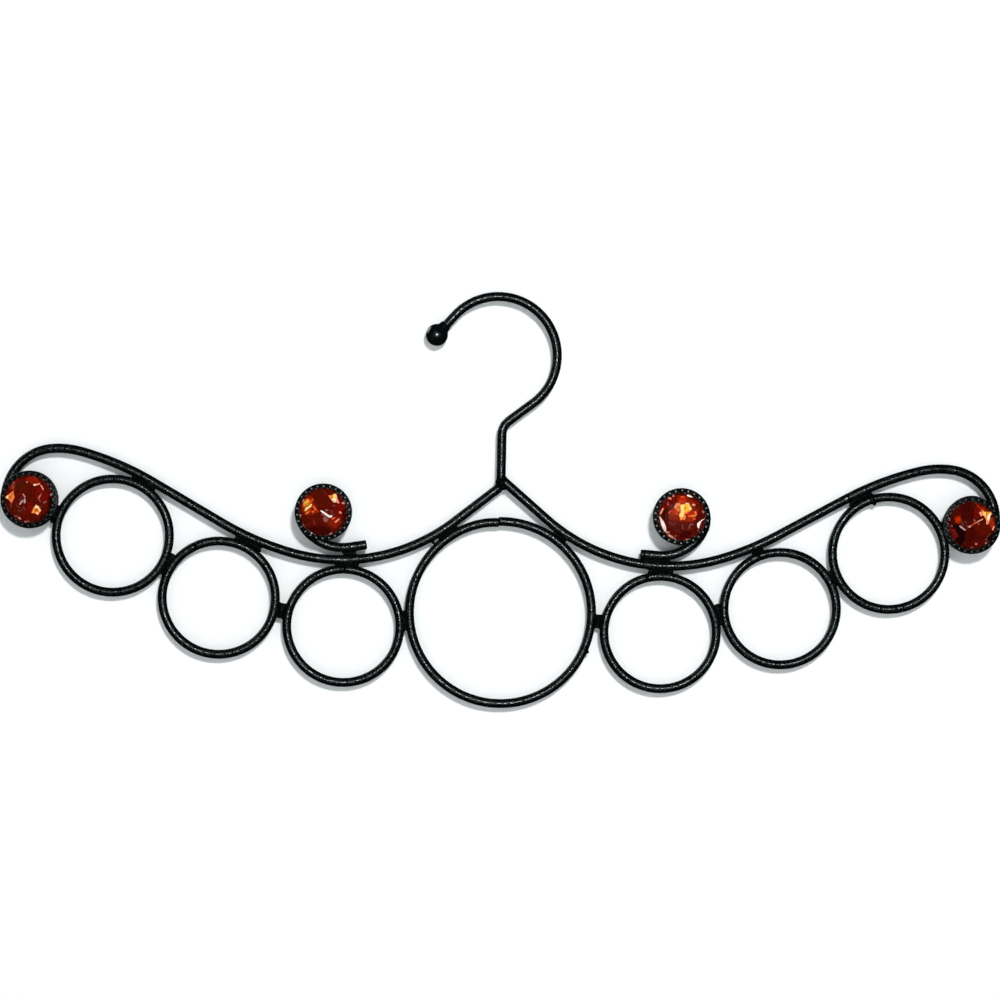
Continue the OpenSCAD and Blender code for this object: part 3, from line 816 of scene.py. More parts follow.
# %% [markdown]
# ### Cutting a flash
#
# A bisecting plane cuts every face it is given right across. The crown is first cut into small squares, so
# that the cuts for one flash stay near it, and each side of a flash is then cut only through the faces that
# it touches.

# %% Flash cutting
def cut_along(mesh, a, b, faces):
    across = Vector((b[1] - a[1], a[0] - b[0], 0))
    geometry = set(faces)
    for face in faces:
        geometry.update(face.edges)
        geometry.update(face.verts)
    bmesh.ops.bisect_plane(mesh, geom=list(geometry), plane_co=(*a, 0), plane_no=across, dist=0.0001)


def touched_faces(mesh, a, b):
    """Faces of the crown whose box meets the box of a side."""
    low_x, high_x = sorted((a[0], b[0]))
    low_y, high_y = sorted((a[1], b[1]))
    found = []
    for face in mesh.faces:
        if face.normal.z < 0.2:
            continue
        xs = [v.co.x for v in face.verts]
        ys = [v.co.y for v in face.verts]
        if max(xs) > low_x and min(xs) < high_x and max(ys) > low_y and min(ys) < high_y:
            found.append(face)
    return found


SQUARE = 2.9


def cut_squares(mesh):
    steps = int(JEWEL_RADIUS / SQUARE)
    for n in range(-steps, steps + 1):
        at, nearly = n * SQUARE, n * SQUARE + 0.001
        for a, b in (((at, -20), (nearly, 20)), ((-20, at), (20, nearly))):
            cut_along(mesh, a, b, touched_faces(mesh, a, b))


def outline_of(flash):
    """The corners of a flash. A flash of two points and a width is a thin bar with pointed ends."""
    if len(flash) == 2:
        return flash[1]
    _, (ax, ay), (bx, by), width = flash
    length = math.hypot(bx - ax, by - ay)
    nx, ny = (ay - by) / length * width / 2, (bx - ax) / length * width / 2
    tx, ty = ny * 0.7, -nx * 0.7
    return [(ax + nx, ay + ny), (bx + nx, by + ny), (bx + tx, by + ty),
            (bx - nx, by - ny), (ax - nx, ay - ny), (ax - tx, ay - ty)]


def is_inside(corners, x, y):
    """Counts how often a line to the right of the point crosses the outline."""
    crossings = 0
    for (ax, ay), (bx, by) in zip(corners, corners[1:] + corners[:1]):
        if (ay > y) != (by > y) and x < ax + (bx - ax) * (y - ay) / (by - ay):
            crossings += 1
    return crossings % 2 == 1


# %% [markdown]
# ### The flashes
#
# The places are in millimetres from the stone's middle, x to the right and y up as seen from the front. The
# bright flashes and glints are painted reflections of light, and the dark, black and shaded patches are
# painted shade. A later flash lies over an earlier one, so the glows come first, then the flashes, then their
# bright cores. Colours are the linear values that Blender works with, which are much lower than the numbers
# on a screen for anything dark.

# %% Flash colours
# Body colours of the stone, and the colours of its painted reflections and painted shade.
STONE_BODY_AND_PAINTED_LIGHT = {
    "black": (0.009, 0.0009, 0.0008), "dark": (0.042, 0.0016, 0.0008), "body": (0.078, 0.0034, 0.0010),
    "brown": (0.066, 0.0058, 0.0010), "blood": (0.125, 0.0030, 0.0010), "ember": (0.19, 0.0085, 0.0012),
    "rust": (0.26, 0.016, 0.0018), "red": (0.38, 0.018, 0.0020), "coral": (0.62, 0.075, 0.016),
    "copper": (0.50, 0.10, 0.004), "orange": (0.72, 0.17, 0.035), "flame": (0.80, 0.22, 0.040),
    "gold": (0.55, 0.22, 0.003), "yellow": (0.82, 0.42, 0.035), "straw": (0.88, 0.52, 0.12),
    "cream": (0.90, 0.58, 0.29), "white": (0.90, 0.74, 0.66), "salmon": (0.72, 0.25, 0.17),
    "rose": (0.46, 0.17, 0.15), "dusk": (0.22, 0.068, 0.058), "plum": (0.13, 0.030, 0.026),
    "wine": (0.105, 0.0055, 0.0045), "silver": (0.42, 0.28, 0.28), "shaded": (0.056, 0.0028, 0.0010),
}

# %% Flashes of the left outer stone
PAINTED_FLASHES_AND_SHADE = {}
PAINTED_FLASHES_AND_SHADE["left_outer"] = [
    ("blood", [(3.5, 5.6), (6.1, 4.5), (8.6, 2.4), (8.4, -1.0), (5.0, -1.6), (3.0, 1.0)]),
    ("ember", [(-1.6, 9.0), (0.7, 11.0), (2.2, 10.9), (4.6, 8.3), (5.4, 6.8), (1.8, 6.3), (0.4, 7.9)]),
    ("brown", [(-5.8, 7.6), (-2.0, 8.0), (-0.6, 5.6), (-2.6, 3.4), (-5.8, 4.2)]),
    ("ember", [(-9.6, 4.6), (-7.2, 8.2), (-6.0, 6.6), (-6.4, 3.2)]),
    ("brown", [(-8.6, -3.0), (-5.0, -3.2), (-3.6, -7.6), (-6.8, -7.0)]),
    ("blood", [(0.2, -1.0), (3.2, -2.2), (1.4, -6.6), (-0.9, -5.4)]),
    # Painted shade at the lower right, where the teeth keep the light off the stone.
    ("dark", [(8.8, 1.4), (12, 1.6), (12, -9), (4.8, -10.6), (5.6, -7.6), (8.2, -5.6), (8.8, -2.6)]),
    ("black", [(9.4, 0.8), (12, 1), (12, -8), (6.4, -10), (8.6, -6.8), (9.6, -3.6)]),
    ("rust", (1.9, 10.6), (4.0, 8.5), 0.7),
    ("dusk", (-6.8, 7.9), (-7.1, 6.9), 0.7),
    ("dusk", (-7.2, 6.2), (-7.6, 4.7), 0.7),
    ("orange", [(-10.9, 0.7), (-9.4, 1.9), (-6.9, 3.8), (-6.4, 0.8), (-7.6, -2.1), (-9.3, 0.0)]),
    ("cream", [(-10.9, 0.7), (-9.6, 1.7), (-9.3, 0.8), (-9.5, -0.1)]),
    ("flame", [(-9.5, 1.8), (-7.3, 3.4), (-7.5, 2.2), (-9.2, 1.2)]),
    ("salmon", [(-9.4, 0.1), (-8.7, 0.0), (-7.6, -1.9), (-8.0, -1.7)]),
    ("copper", [(-9.3, 0.8), (-8.0, 1.6), (-8.1, -0.2)]),
    ("dusk", (-8.0, -2.3), (-7.9, -3.8), 0.4),
    ("orange", [(3.6, -2.5), (4.6, -3.1), (5.9, -5.0), (4.6, -7.1), (3.2, -6.5), (1.5, -6.2), (2.4, -3.9)]),
    ("cream", [(3.5, -2.5), (4.6, -3.1), (5.9, -5.0), (5.2, -5.6), (4.2, -4.0), (2.7, -3.9)]),
    ("cream", [(3.6, -5.9), (4.6, -5.9), (4.5, -7.0), (3.9, -6.7)]),
    ("flame", [(2.7, -3.9), (3.2, -4.1), (2.8, -5.6), (3.6, -5.9), (1.7, -6.1)]),
    ("copper", [(3.2, -4.2), (4.1, -4.1), (4.7, -5.1), (3.7, -5.7), (2.9, -5.3)]),
    ("salmon", [(2.0, 6.9), (3.6, 7.1), (5.1, 7.6), (5.2, 6.9), (3.6, 6.3), (2.2, 6.1)]),
    ("white", (2.3, 6.6), (3.2, 6.7), 0.5),
    ("salmon", (5.6, 6.4), (6.7, 4.5), 0.55),
    ("wine", (6.9, 4.2), (9.2, 2.3), 0.45),
    ("rose", (9.9, 2.2), (10.6, 2.4), 0.8),
    ("dusk", (6.0, 2.9), (5.4, 1.8), 0.35),
    ("rose", (5.4, 1.9), (4.6, 0.5), 0.5),
    ("dusk", (4.6, 0.3), (5.5, -1.0), 0.55),
    ("dusk", (6.9, -1.6), (8.2, -0.9), 0.65),
    ("plum", (5.1, -3.0), (5.7, -3.9), 0.5),
    ("rose", (-2.5, 2.3), (-1.5, 0.9), 0.6),
    ("silver", (-1.7, 0.0), (-1.7, -1.6), 0.9),
    ("silver", (-2.7, -0.7), (-3.9, -2.4), 0.7),
    ("plum", (-2.9, 1.0), (-4.2, -0.6), 0.45),
    ("plum", (-2.1, -3.4), (-1.5, -5.0), 0.55),
    ("plum", (-5.4, -3.0), (-4.8, -3.3), 0.6),
    ("plum", (-4.5, -3.5), (-4.1, -3.9), 0.5),
    ("plum", (-4.6, -5.2), (-3.8, -5.6), 0.5),
    ("plum", (-3.2, -4.4), (-2.7, -5.3), 0.5),
    ("dusk", (-6.4, -7.9), (-5.2, -7.8), 0.55),
    ("rose", (-4.5, -8.4), (-3.6, -9.1), 1.0),
    ("rose", (-1.8, -10.4), (-0.9, -10.5), 0.8),
    ("dusk", (-0.6, -9.8), (0.7, -10.4), 0.6),
    ("rose", (-1.1, 7.8), (-0.4, 7.8), 0.6),
    ("wine", (-6.0, 8.5), (-2.2, 8.2), 0.6),
    ("plum", (-10.0, -3.7), (-8.9, -5.7), 0.5),
]

# %% Flashes of the left inner stone
PAINTED_FLASHES_AND_SHADE["left_inner"] = [
    ("brown", [(-3.6, 8.6), (-1.0, 10.2), (1.4, 9.4), (0.4, 7.8), (-2.6, 7.6)]),
    ("blood", [(4.6, 4.0), (8.8, 6.0), (10.2, 2.0), (10.2, -3.0), (7.2, -2.0), (4.8, 0.6)]),
    ("ember", [(-10.0, 4.6), (-8.0, 7.4), (-5.2, 7.2), (-4.2, 4.6), (-2.4, 1.6), (-1.6, 0.0),
               (-4.5, -1.2), (-8.2, -1.8), (-9.8, 0.0)]),
    ("ember", [(3.2, -3.0), (5.5, -1.8), (8.0, -2.2), (8.4, -4.6), (6.2, -7.2), (2.6, -7.2), (2.4, -4.8)]),
    ("brown", [(2.6, -5.8), (4.4, -6.4), (3.8, -7.8), (2.2, -7.2)]),
    ("brown", [(-10.6, -0.8), (-8.4, -1.8), (-7.2, -4.6), (-9.4, -5.0)]),
    # Painted shade along the bottom and at the right.
    ("dark", [(-7.0, -7.4), (-0.4, -6.0), (4.0, -8.2), (4.6, -10.6), (-4.6, -10.8)]),
    ("dark", [(9.0, 1.2), (12, 2), (12, -7), (8.0, -8.2), (8.8, -4.4)]),
    ("rust", [(-9.4, 4.2), (-7.2, 6.6), (-5.8, 6.0), (-5.6, 4.2), (-4.6, 3.0), (-5.6, 1.2), (-8.6, -0.4),
               (-9.2, 2.0)]),
    ("flame", [(-9.3, 4.0), (-7.5, 5.9), (-6.2, 5.6), (-5.9, 4.2), (-7.4, 3.7), (-8.2, 2.4), (-9.1, 2.3)]),
    ("yellow", [(-8.8, 4.0), (-7.6, 5.2), (-6.6, 5.2), (-7.2, 4.2), (-8.4, 3.4)]),
    ("gold", [(-8.1, 3.7), (-6.5, 4.2), (-6.3, 3.2), (-7.8, 2.6)]),
    ("straw", [(-8.6, 0.8), (-8.0, 1.9), (-6.6, 2.6), (-5.9, 3.6), (-5.1, 3.6), (-5.3, 2.4), (-6.6, 1.6),
               (-7.6, 0.3), (-8.3, 0.3)]),
    ("cream", (-8.0, 1.0), (-5.6, 2.9), 0.7),
    ("orange", (-7.8, -0.9), (-6.3, 0.1), 0.65),
    ("coral", (-5.7, 4.3), (-4.7, 5.9), 0.7),
    ("coral", [(-4.9, 2.9), (-3.9, 2.6), (-2.9, 1.1), (-3.6, 0.5), (-4.2, 1.4)]),
    ("coral", [(-5.1, 0.5), (-3.9, 0.4), (-4.4, -0.5), (-5.0, -0.3)]),
    ("red", (-6.0, 1.0), (-5.3, 0.2), 0.6),
    ("red", (-2.7, 0.5), (-1.8, 0.2), 0.6),
    ("wine", (-6.8, -1.3), (-6.7, -3.6), 0.45),
    ("plum", (-4.3, -4.0), (-3.7, -5.7), 0.45),
    ("wine", (-4.8, -1.2), (-3.2, -3.4), 0.35),
    ("salmon", (-9.5, 4.8), (-8.9, 5.4), 0.8),
    ("orange", [(2.2, 7.6), (4.4, 7.9), (4.5, 6.0), (3.3, 6.0)]),
    ("gold", [(3.6, 7.3), (4.5, 7.4), (4.4, 6.4), (3.9, 6.5)]),
    ("cream", [(4.5, 8.4), (5.8, 8.4), (6.4, 6.4), (5.9, 4.6), (4.8, 4.5), (3.4, 6.0), (4.4, 6.3)]),
    ("straw", [(4.6, 8.2), (5.6, 8.2), (5.8, 6.6), (4.7, 6.4)]),
    ("salmon", [(5.9, 6.7), (6.6, 6.1), (7.5, 4.1), (6.7, 4.2), (5.9, 4.8)]),
    ("white", [(4.6, 6.3), (5.6, 6.1), (5.1, 4.9)]),
    ("plum", (4.4, 3.1), (5.4, 2.9), 0.6),
    ("salmon", (8.7, 4.3), (9.7, 4.3), 0.9),
    ("wine", (7.6, 6.0), (8.8, 4.8), 0.5),
    ("dusk", (1.0, 0.9), (2.2, 0.9), 0.7),
    ("plum", (3.0, 1.0), (4.6, 0.3), 0.5),
    ("plum", (3.6, -0.2), (5.2, -1.2), 0.5),
    ("dusk", (-0.6, -0.9), (1.4, -1.9), 0.55),
    ("dusk", [(0.0, -2.4), (1.4, -2.1), (2.8, -2.9), (2.1, -4.3), (1.3, -4.7), (0.3, -3.9)]),
    ("white", [(-1.3, 0.7), (-0.6, 0.7), (1.5, -0.5), (2.9, -1.4), (4.3, -1.5), (4.2, -2.0), (3.4, -2.5),
               (2.2, -2.1), (0.6, -0.9), (-0.9, 0.2)]),
    ("coral", (4.2, -3.1), (5.4, -2.4), 0.7),
    ("salmon", (5.7, -4.5), (7.4, -3.0), 0.65),
    ("salmon", (7.5, 0.2), (8.3, -0.3), 0.8),
    ("salmon", (-10.9, -2.2), (-10.3, -1.6), 0.9),
    ("rose", (-9.3, -5.8), (-8.4, -7.1), 0.75),
    ("dusk", (-7.0, -8.3), (-6.5, -8.8), 0.7),
    ("white", (-6.0, -9.3), (-4.4, -10.2), 0.75),
    ("rose", (3.0, -10.4), (4.0, -9.4), 0.7),
    ("wine", (0.3, 8.9), (1.6, 8.7), 0.8),
]

# %% Flashes of the right inner stone
PAINTED_FLASHES_AND_SHADE["right_inner"] = [
    ("ember", [(-2.4, 9.6), (1.2, 9.9), (3.8, 8.0), (7.4, 6.4), (7.8, 3.4), (6.6, -0.6), (4.4, -2.6),
               (-1.6, -2.0), (-5.8, -1.6), (-6.2, 2.0), (-3.6, 4.4), (-2.6, 6.4)]),
    ("blood", [(-8.4, 8.0), (-3.2, 9.2), (-3.0, 6.0), (-7.0, 3.4), (-9.8, 3.0)]),
    # Painted shade at the left and along the bottom.
    ("dark", [(-9.0, 2.6), (-6.4, 3.0), (-5.9, -2.0), (-7.4, -2.0), (-9.2, 0.6)]),
    ("dark", [(-0.2, -6.2), (4.2, -6.8), (5.4, -9.4), (-0.6, -9.6)]),
    ("wine", [(4.8, -7.6), (7.0, -8.0), (6.0, -9.2), (3.8, -9.0)]),
    ("wine", [(7.9, -4.0), (9.8, -2.6), (10.4, -4.6), (8.6, -6.6)]),
    ("brown", [(6.2, 6.4), (8.6, 5.4), (8.2, 3.2), (6.4, 3.8)]),
    ("red", [(-1.8, 6.4), (-1.2, 9.0), (0.2, 9.6), (1.8, 8.6), (2.2, 6.6), (0.0, 5.9)]),
    ("coral", (-0.5, 9.1), (0.9, 9.1), 0.6),
    ("rust", [(-6.2, 1.9), (-5.0, 3.1), (-3.4, 3.8), (-1.4, 3.4), (-1.4, 1.2), (-2.6, 0.5), (-5.3, 0.2)]),
    ("red", [(-4.8, 2.4), (-3.0, 3.4), (-1.6, 3.2), (-1.9, 1.5), (-3.4, 1.1)]),
    ("coral", (-6.0, 1.6), (-5.0, 2.8), 0.45),
    ("plum", (-5.6, 0.3), (-5.5, -1.1), 0.45),
    ("orange", (-2.2, 3.0), (-1.5, 2.5), 0.8),
    ("coral", (-2.8, 1.6), (-2.1, 1.3), 0.8),
    ("orange", [(-3.7, 3.9), (-2.7, 6.1), (-1.1, 6.3), (-0.8, 4.2), (-0.8, 2.7), (-2.6, 3.3)]),
    ("salmon", (-3.4, 4.2), (-2.5, 6.0), 0.65),
    ("copper", [(-2.0, 5.0), (-1.1, 5.0), (-1.0, 3.1), (-1.8, 3.6)]),
    ("rust", [(2.2, 0.5), (4.2, -0.2), (6.4, -0.4), (6.0, -1.3), (4.2, -1.9), (2.0, -1.5)]),
    ("red", [(1.9, 1.4), (3.6, 3.0), (4.6, 3.5), (5.7, 2.7), (6.8, 2.1), (6.7, 0.7), (5.8, 0.0), (4.0, -0.1),
             (2.1, 0.7)]),
    ("orange", (6.1, 2.4), (6.5, 0.9), 0.65),
    ("orange", (4.3, 0.4), (6.2, 0.6), 0.8),
    ("coral", (2.3, 1.6), (3.9, 2.9), 0.5),
    ("coral", (3.0, 0.4), (4.2, 0.4), 0.7),
    ("coral", (5.3, -0.8), (6.1, -0.8), 0.8),
    ("straw", [(-0.9, 5.4), (0.0, 5.7), (0.9, 5.6), (0.8, 3.0), (0.9, 0.6), (0.7, -0.4), (-1.0, -0.2),
               (-1.3, 0.9), (-0.6, 2.5)]),
    ("flame", [(-0.9, -0.2), (-0.7, -1.5), (0.1, -1.5), (0.2, -0.3)]),
    ("orange", [(0.2, -0.3), (0.3, -1.2), (1.2, -1.4), (1.9, -0.4), (1.7, 0.7), (0.8, 0.7)]),
    ("yellow", [(0.9, 5.8), (1.9, 6.3), (3.0, 6.1), (3.7, 5.2), (4.5, 3.6), (3.4, 2.8), (2.1, 1.8),
               (1.1, 1.2), (0.8, 3.4)]),
    ("flame", [(2.6, 2.9), (3.5, 2.9), (2.0, 1.7), (1.1, 1.0), (0.9, 2.2)]),
    ("cream", (1.6, 6.1), (3.1, 5.9), 0.6),
    ("cream", [(3.7, 4.8), (4.5, 3.6), (3.6, 3.1), (3.3, 4.0)]),
    ("gold", [(0.9, 4.5), (2.0, 5.0), (1.9, 3.5), (1.0, 3.1)]),
    ("cream", (0.0, 4.8), (0.1, 0.8), 0.5),
    ("plum", (-5.7, -2.5), (-4.0, -3.8), 0.35),
    ("plum", (-4.0, -3.9), (-2.4, -2.6), 0.35),
    ("plum", (0.4, -3.7), (0.5, -5.7), 0.6),
    ("dusk", (3.2, -5.2), (3.8, -3.6), 0.45),
    ("dusk", (3.8, -3.4), (5.3, -3.3), 0.5),
    ("white", [(-10.3, 0.2), (-9.4, -0.8), (-8.1, -2.5), (-7.2, -4.8), (-6.9, -6.7), (-7.5, -7.1),
               (-8.5, -5.7), (-9.4, -3.6), (-9.9, -1.4)]),
    ("brown", [(-10.3, -0.6), (-9.9, -1.4), (-9.4, -3.6), (-8.5, -5.7), (-9.4, -5.0), (-10.2, -2.8)]),
    ("salmon", (-6.9, -7.3), (-5.7, -7.2), 0.9),
    ("salmon", (-5.9, -8.4), (-3.9, -9.7), 1.0),
    ("rose", (-3.4, -9.9), (-2.5, -10.6), 0.7),
    ("salmon", (-9.8, 1.1), (-8.7, 3.6), 0.8),
    ("white", [(10.8, -0.5), (9.2, -1.7), (8.4, -3.2), (7.9, -5.2), (7.2, -4.7), (7.0, -3.0), (7.9, -2.1),
               (9.0, -1.3)]),
    ("dusk", (7.7, -5.2), (7.6, -6.5), 0.5),
    ("salmon", (4.7, 5.6), (5.7, 5.5), 1.0),
    ("rose", (9.5, 2.8), (9.9, 2.1), 0.8),
    ("white", [(2.1, 10.1), (3.4, 10.1), (4.8, 9.1), (4.3, 8.9), (2.4, 9.4)]),
    ("salmon", (-6.6, 8.7), (-5.1, 8.1), 0.8),
    ("rose", (-4.3, 9.7), (-3.8, 9.3), 0.8),
    ("dusk", (-6.6, 6.4), (-6.3, 5.2), 0.8),
    ("salmon", (2.0, -10.7), (3.7, -10.2), 0.8),
    ("dusk", (-2.9, -8.8), (-2.3, -8.8), 0.6),
]

# %% Flashes of the right outer stone
PAINTED_FLASHES_AND_SHADE["right_outer"] = [
    # The whole stone is painted darker as painted shade, and its black patches are painted shade too.
    ("shaded", [(-11.8, -11.8), (11.8, -11.8), (11.8, 11.8), (-11.8, 11.8)]),
    ("dark", [(-5.2, 9.4), (-0.4, 10.2), (0.8, 5.0), (-1.0, 2.0), (-5.2, 3.0)]),
    ("blood", [(0.8, 2.6), (3.4, 4.4), (3.4, 7.2), (1.6, 9.8), (0.6, 6.0)]),
    ("body", [(1.6, 0.8), (6.2, 1.0), (9.6, -1.6), (6.4, -4.4), (2.0, -3.6), (0.8, -0.6)]),
    ("body", [(1.6, -6.9), (6.0, -7.4), (4.4, -9.8), (-1.0, -9.8)]),
    ("dark", [(-1.6, -1.2), (1.0, -0.8), (1.6, -6.6), (-2.8, -7.4)]),
    ("black", [(-8.8, 0.4), (-5.4, 0.2), (-3.2, -2.2), (-3.2, -7.2), (-5.4, -9.2), (-9.6, -4.4)]),
    ("black", [(7.6, -4.6), (9.8, -3.4), (11.6, -4.0), (9.0, -8.0), (7.0, -6.6)]),
    ("wine", [(-10.4, -1.8), (-8.0, -1.6), (-6.2, -5.2), (-8.4, -6.8)]),
    ("brown", [(5.4, 8.2), (7.2, 7.4), (8.2, 6.4), (6.0, 6.4)]),
    ("rust", [(-8.4, 2.7), (-7.6, 3.8), (-5.9, 4.4), (-5.2, 3.4), (-5.1, 1.5), (-6.2, 0.8), (-7.8, 1.1)]),
    ("red", [(-7.6, 3.5), (-5.9, 3.9), (-5.7, 2.1), (-7.3, 2.1)]),
    ("rust", [(7.9, 3.6), (9.8, 3.8), (10.2, 0.8), (9.4, -1.2), (8.0, -0.4), (7.6, 1.0)]),
    ("ember", [(3.4, 9.0), (5.4, 8.6), (6.8, 6.6), (4.8, 6.6)]),
    ("rust", (2.1, 9.5), (4.0, 7.1), 0.7),
    ("dusk", (1.1, 11.0), (1.8, 10.3), 0.7),
    ("salmon", [(2.8, 5.8), (3.4, 6.5), (4.6, 6.0), (4.7, 4.8), (3.8, 4.2)]),
    ("flame", [(4.0, 7.4), (4.7, 7.0), (5.6, 6.2), (4.5, 5.7)]),
    ("flame", [(4.0, 6.0), (5.5, 6.4), (8.7, 6.3), (9.0, 5.4), (8.2, 4.6), (7.9, 3.0), (7.2, 0.6),
               (6.2, 0.7), (6.2, 2.6), (5.4, 3.9), (4.6, 4.9)]),
    ("straw", [(4.5, 6.1), (6.0, 6.2), (5.9, 4.6), (5.1, 4.8)]),
    ("gold", [(6.1, 6.1), (8.1, 6.1), (7.1, 5.1), (6.2, 4.3)]),
    ("cream", [(6.9, 5.0), (8.2, 6.0), (8.9, 5.6), (8.2, 4.6), (7.8, 2.6), (7.0, 2.0), (6.5, 3.4)]),
    ("white", [(7.3, 4.4), (8.1, 4.9), (7.8, 3.2), (7.2, 2.8)]),
    ("salmon", [(6.3, 2.3), (7.7, 2.3), (7.2, 0.6), (6.2, 0.7)]),
    ("salmon", (9.3, -1.9), (10.1, -0.2), 0.7),
    ("salmon", (2.1, 1.6), (4.6, 3.0), 0.5),
    ("coral", (0.5, 0.9), (2.0, 1.4), 0.6),
    ("dusk", (-0.6, -0.1), (0.3, 0.5), 0.7),
    ("rose", (-1.7, -0.7), (-0.9, -0.4), 0.9),
    ("dusk", (0.4, 2.6), (1.5, 1.9), 0.6),
    ("dusk", (2.5, 0.8), (3.2, 0.7), 0.6),
    ("silver", (-5.8, -0.4), (-3.4, -2.2), 0.7),
    ("plum", (-4.9, 1.9), (-4.3, -0.4), 0.5),
    ("plum", (-3.6, 1.8), (-2.8, 1.0), 0.7),
    ("plum", (-2.6, 0.0), (-1.9, -1.2), 0.5),
    ("silver", (-10.5, 3.6), (-10.5, 2.1), 0.6),
    ("dusk", (-9.5, -0.2), (-9.1, -0.8), 0.6),
    ("dusk", (6.3, -6.1), (6.8, -6.6), 0.7),
    ("rose", (6.2, -7.8), (6.8, -8.1), 0.8),
    ("rose", (1.6, -8.4), (2.2, -8.5), 0.8),
    ("dusk", (-0.3, -10.0), (0.3, -10.0), 0.8),
    ("plum", (-7.2, 8.3), (-6.6, 8.1), 0.8),
    ("plum", (8.4, -3.3), (6.9, -5.3), 0.4),
]

# %% [markdown]
# ### The stone's finish
#
# The colour attribute gives the stone's body colour with its painted flashes: painted reflections of the
# foil, and painted shade. A slow noise makes the amber a little deeper in some places, as real resin is. The
# gloss comes only from a hard clear coat, so that a facet shines when it faces the lamp and stays deep and
# dark everywhere else.

# %% Jewel material
def amber_stone():
    material, tree, shader = new_material("amber stone")
    link = tree.links.new
    # The colour attribute carries painted reflections and painted shade on the body colour.
    body_and_painted_light = add_node(tree, "ShaderNodeVertexColor", layer_name="body_and_painted_light")
    where = add_node(tree, "ShaderNodeTexCoord")
    cloud = add_node(tree, "ShaderNodeTexNoise", {"Scale": 650.0, "Detail": 3.0, "Roughness": 0.6})
    deepen = add_node(tree, "ShaderNodeMapRange",
                      {"From Min": 0.3, "From Max": 0.7, "To Min": 0.7, "To Max": 1.3})
    clouded = add_node(tree, "ShaderNodeMix", {"Factor": 1.0}, data_type="RGBA", blend_type="MULTIPLY")
    link(where.outputs["Object"], cloud.inputs["Vector"])
    link(cloud.outputs["Fac"], deepen.inputs["Value"])
    link(body_and_painted_light.outputs["Color"], clouded.inputs["A"])
    link(deepen.outputs["Result"], clouded.inputs["B"])
    link(clouded.outputs["Result"], shader.inputs["Base Color"])
    shader.inputs["Roughness"].default_value = 0.3
    shader.inputs["Specular IOR Level"].default_value = 0.0
    shader.inputs["Coat Weight"].default_value = 1.0
    shader.inputs["Coat Roughness"].default_value = 0.03
    shader.inputs["Coat IOR"].default_value = 1.49
    return material


AMBER = amber_stone()
print("jewel material:", AMBER.name)

# %% [markdown]
# ### Making the stones
#
# Each stone is a crown turned to its own angle, cut along the sides of its flashes and coloured face by face.
# Its faces are shaded flat, because a facet is flat. The colours lie on the corners of the faces, so that two
# faces that share an edge can still differ.

# %% Jewels
# Each face takes the colour of the last flash over it, a painted reflection or painted shade, or else the
# body colour.
def colour_stone(mesh, flashes):
    outlines = [(STONE_BODY_AND_PAINTED_LIGHT[flash[0]], outline_of(flash)) for flash in flashes]
    layer = mesh.loops.layers.float_color.new("body_and_painted_light")
    for face in mesh.faces:
        middle = face.calc_center_median()
        shade = STONE_BODY_AND_PAINTED_LIGHT["body"]
        if face.normal.z > 0:
            for colour, corners in outlines:
                if is_inside(corners, middle.x, middle.y):
                    shade = colour
        for loop in face.loops:
            loop[layer] = (*shade, 1)


for name, (side, centre) in CUPS.items():
    stone = crown_and_back(TURNS[name])
    stone.normal_update()
    cut_squares(stone)
    for flash in PAINTED_FLASHES_AND_SHADE[name]:
        corners = outline_of(flash)
        for a, b in zip(corners, corners[1:] + corners[:1]):
            cut_along(stone, a, b, touched_faces(stone, a, b))
    stone.normal_update()
    colour_stone(stone, PAINTED_FLASHES_AND_SHADE[name])
    place = Matrix.Translation((RING_ROW_X + SIDES[side] * centre[0], -CUP_BACK, RING_ROW_Z + centre[1]))
    bmesh.ops.transform(stone, matrix=place @ Matrix.Rotation(math.radians(90), 4, "X"), verts=stone.verts)
    finish_piece(stone, f"{name}_stone", AMBER, [f"{name}_jewel"], 0)

# %% [markdown]
# ## The glue
#
# The stones sit in clear glue that has set hard. In the black cup it looks almost black, with a slight brown
# haze. It hardly shows between the teeth, but it is a real piece, so its solid is kept and gets a finish of
# its own.

# %% Glue
def set_glue():
    material, tree, shader = new_material("set glue")
    where = add_node(tree, "ShaderNodeTexCoord")
    cloud = add_node(tree, "ShaderNodeTexNoise", {"Scale": 400.0, "Detail": 3.0})
    tint = add_node(tree, "ShaderNodeMix", data_type="RGBA")
    tint.inputs["A"].default_value = (0.012, 0.010, 0.008, 1)
    tint.inputs["B"].default_value = (0.030, 0.024, 0.018, 1)
    tree.links.new(where.outputs["Object"], cloud.inputs["Vector"])
    tree.links.new(cloud.outputs["Fac"], tint.inputs["Factor"])
    tree.links.new(tint.outputs["Result"], shader.inputs["Base Color"])
    shader.inputs["Roughness"].default_value = 0.35
    return material


GLUE = set_glue()
for name in CUPS:
    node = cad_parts[f"{name}_glue"]
    node.data.materials.clear()
    node.data.materials.append(GLUE)
    print(node.name, "size, mm:", [round(d / MM, 1) for d in node.dimensions])

# %% [markdown]
# ## Backdrop, floor and light
#
# The hanger was photographed against a white board close behind it, so thin grey shadows lie just below and
# to the left of every wire. The board here shows only to a camera in front of it and lets all other rays
# through, so the hanger can be seen and lit from behind as well. A soft lamp to the upper right of the camera
# throws the shadows, and doesn't show in the gloss. A second one right beside the camera shows only in the
# gloss, and draws the thin bright line along each wire. A third stands behind, and a pale sky fills the rest.
# The sky is dim in the gloss, because the coating is as black as it can be between its lines of light.

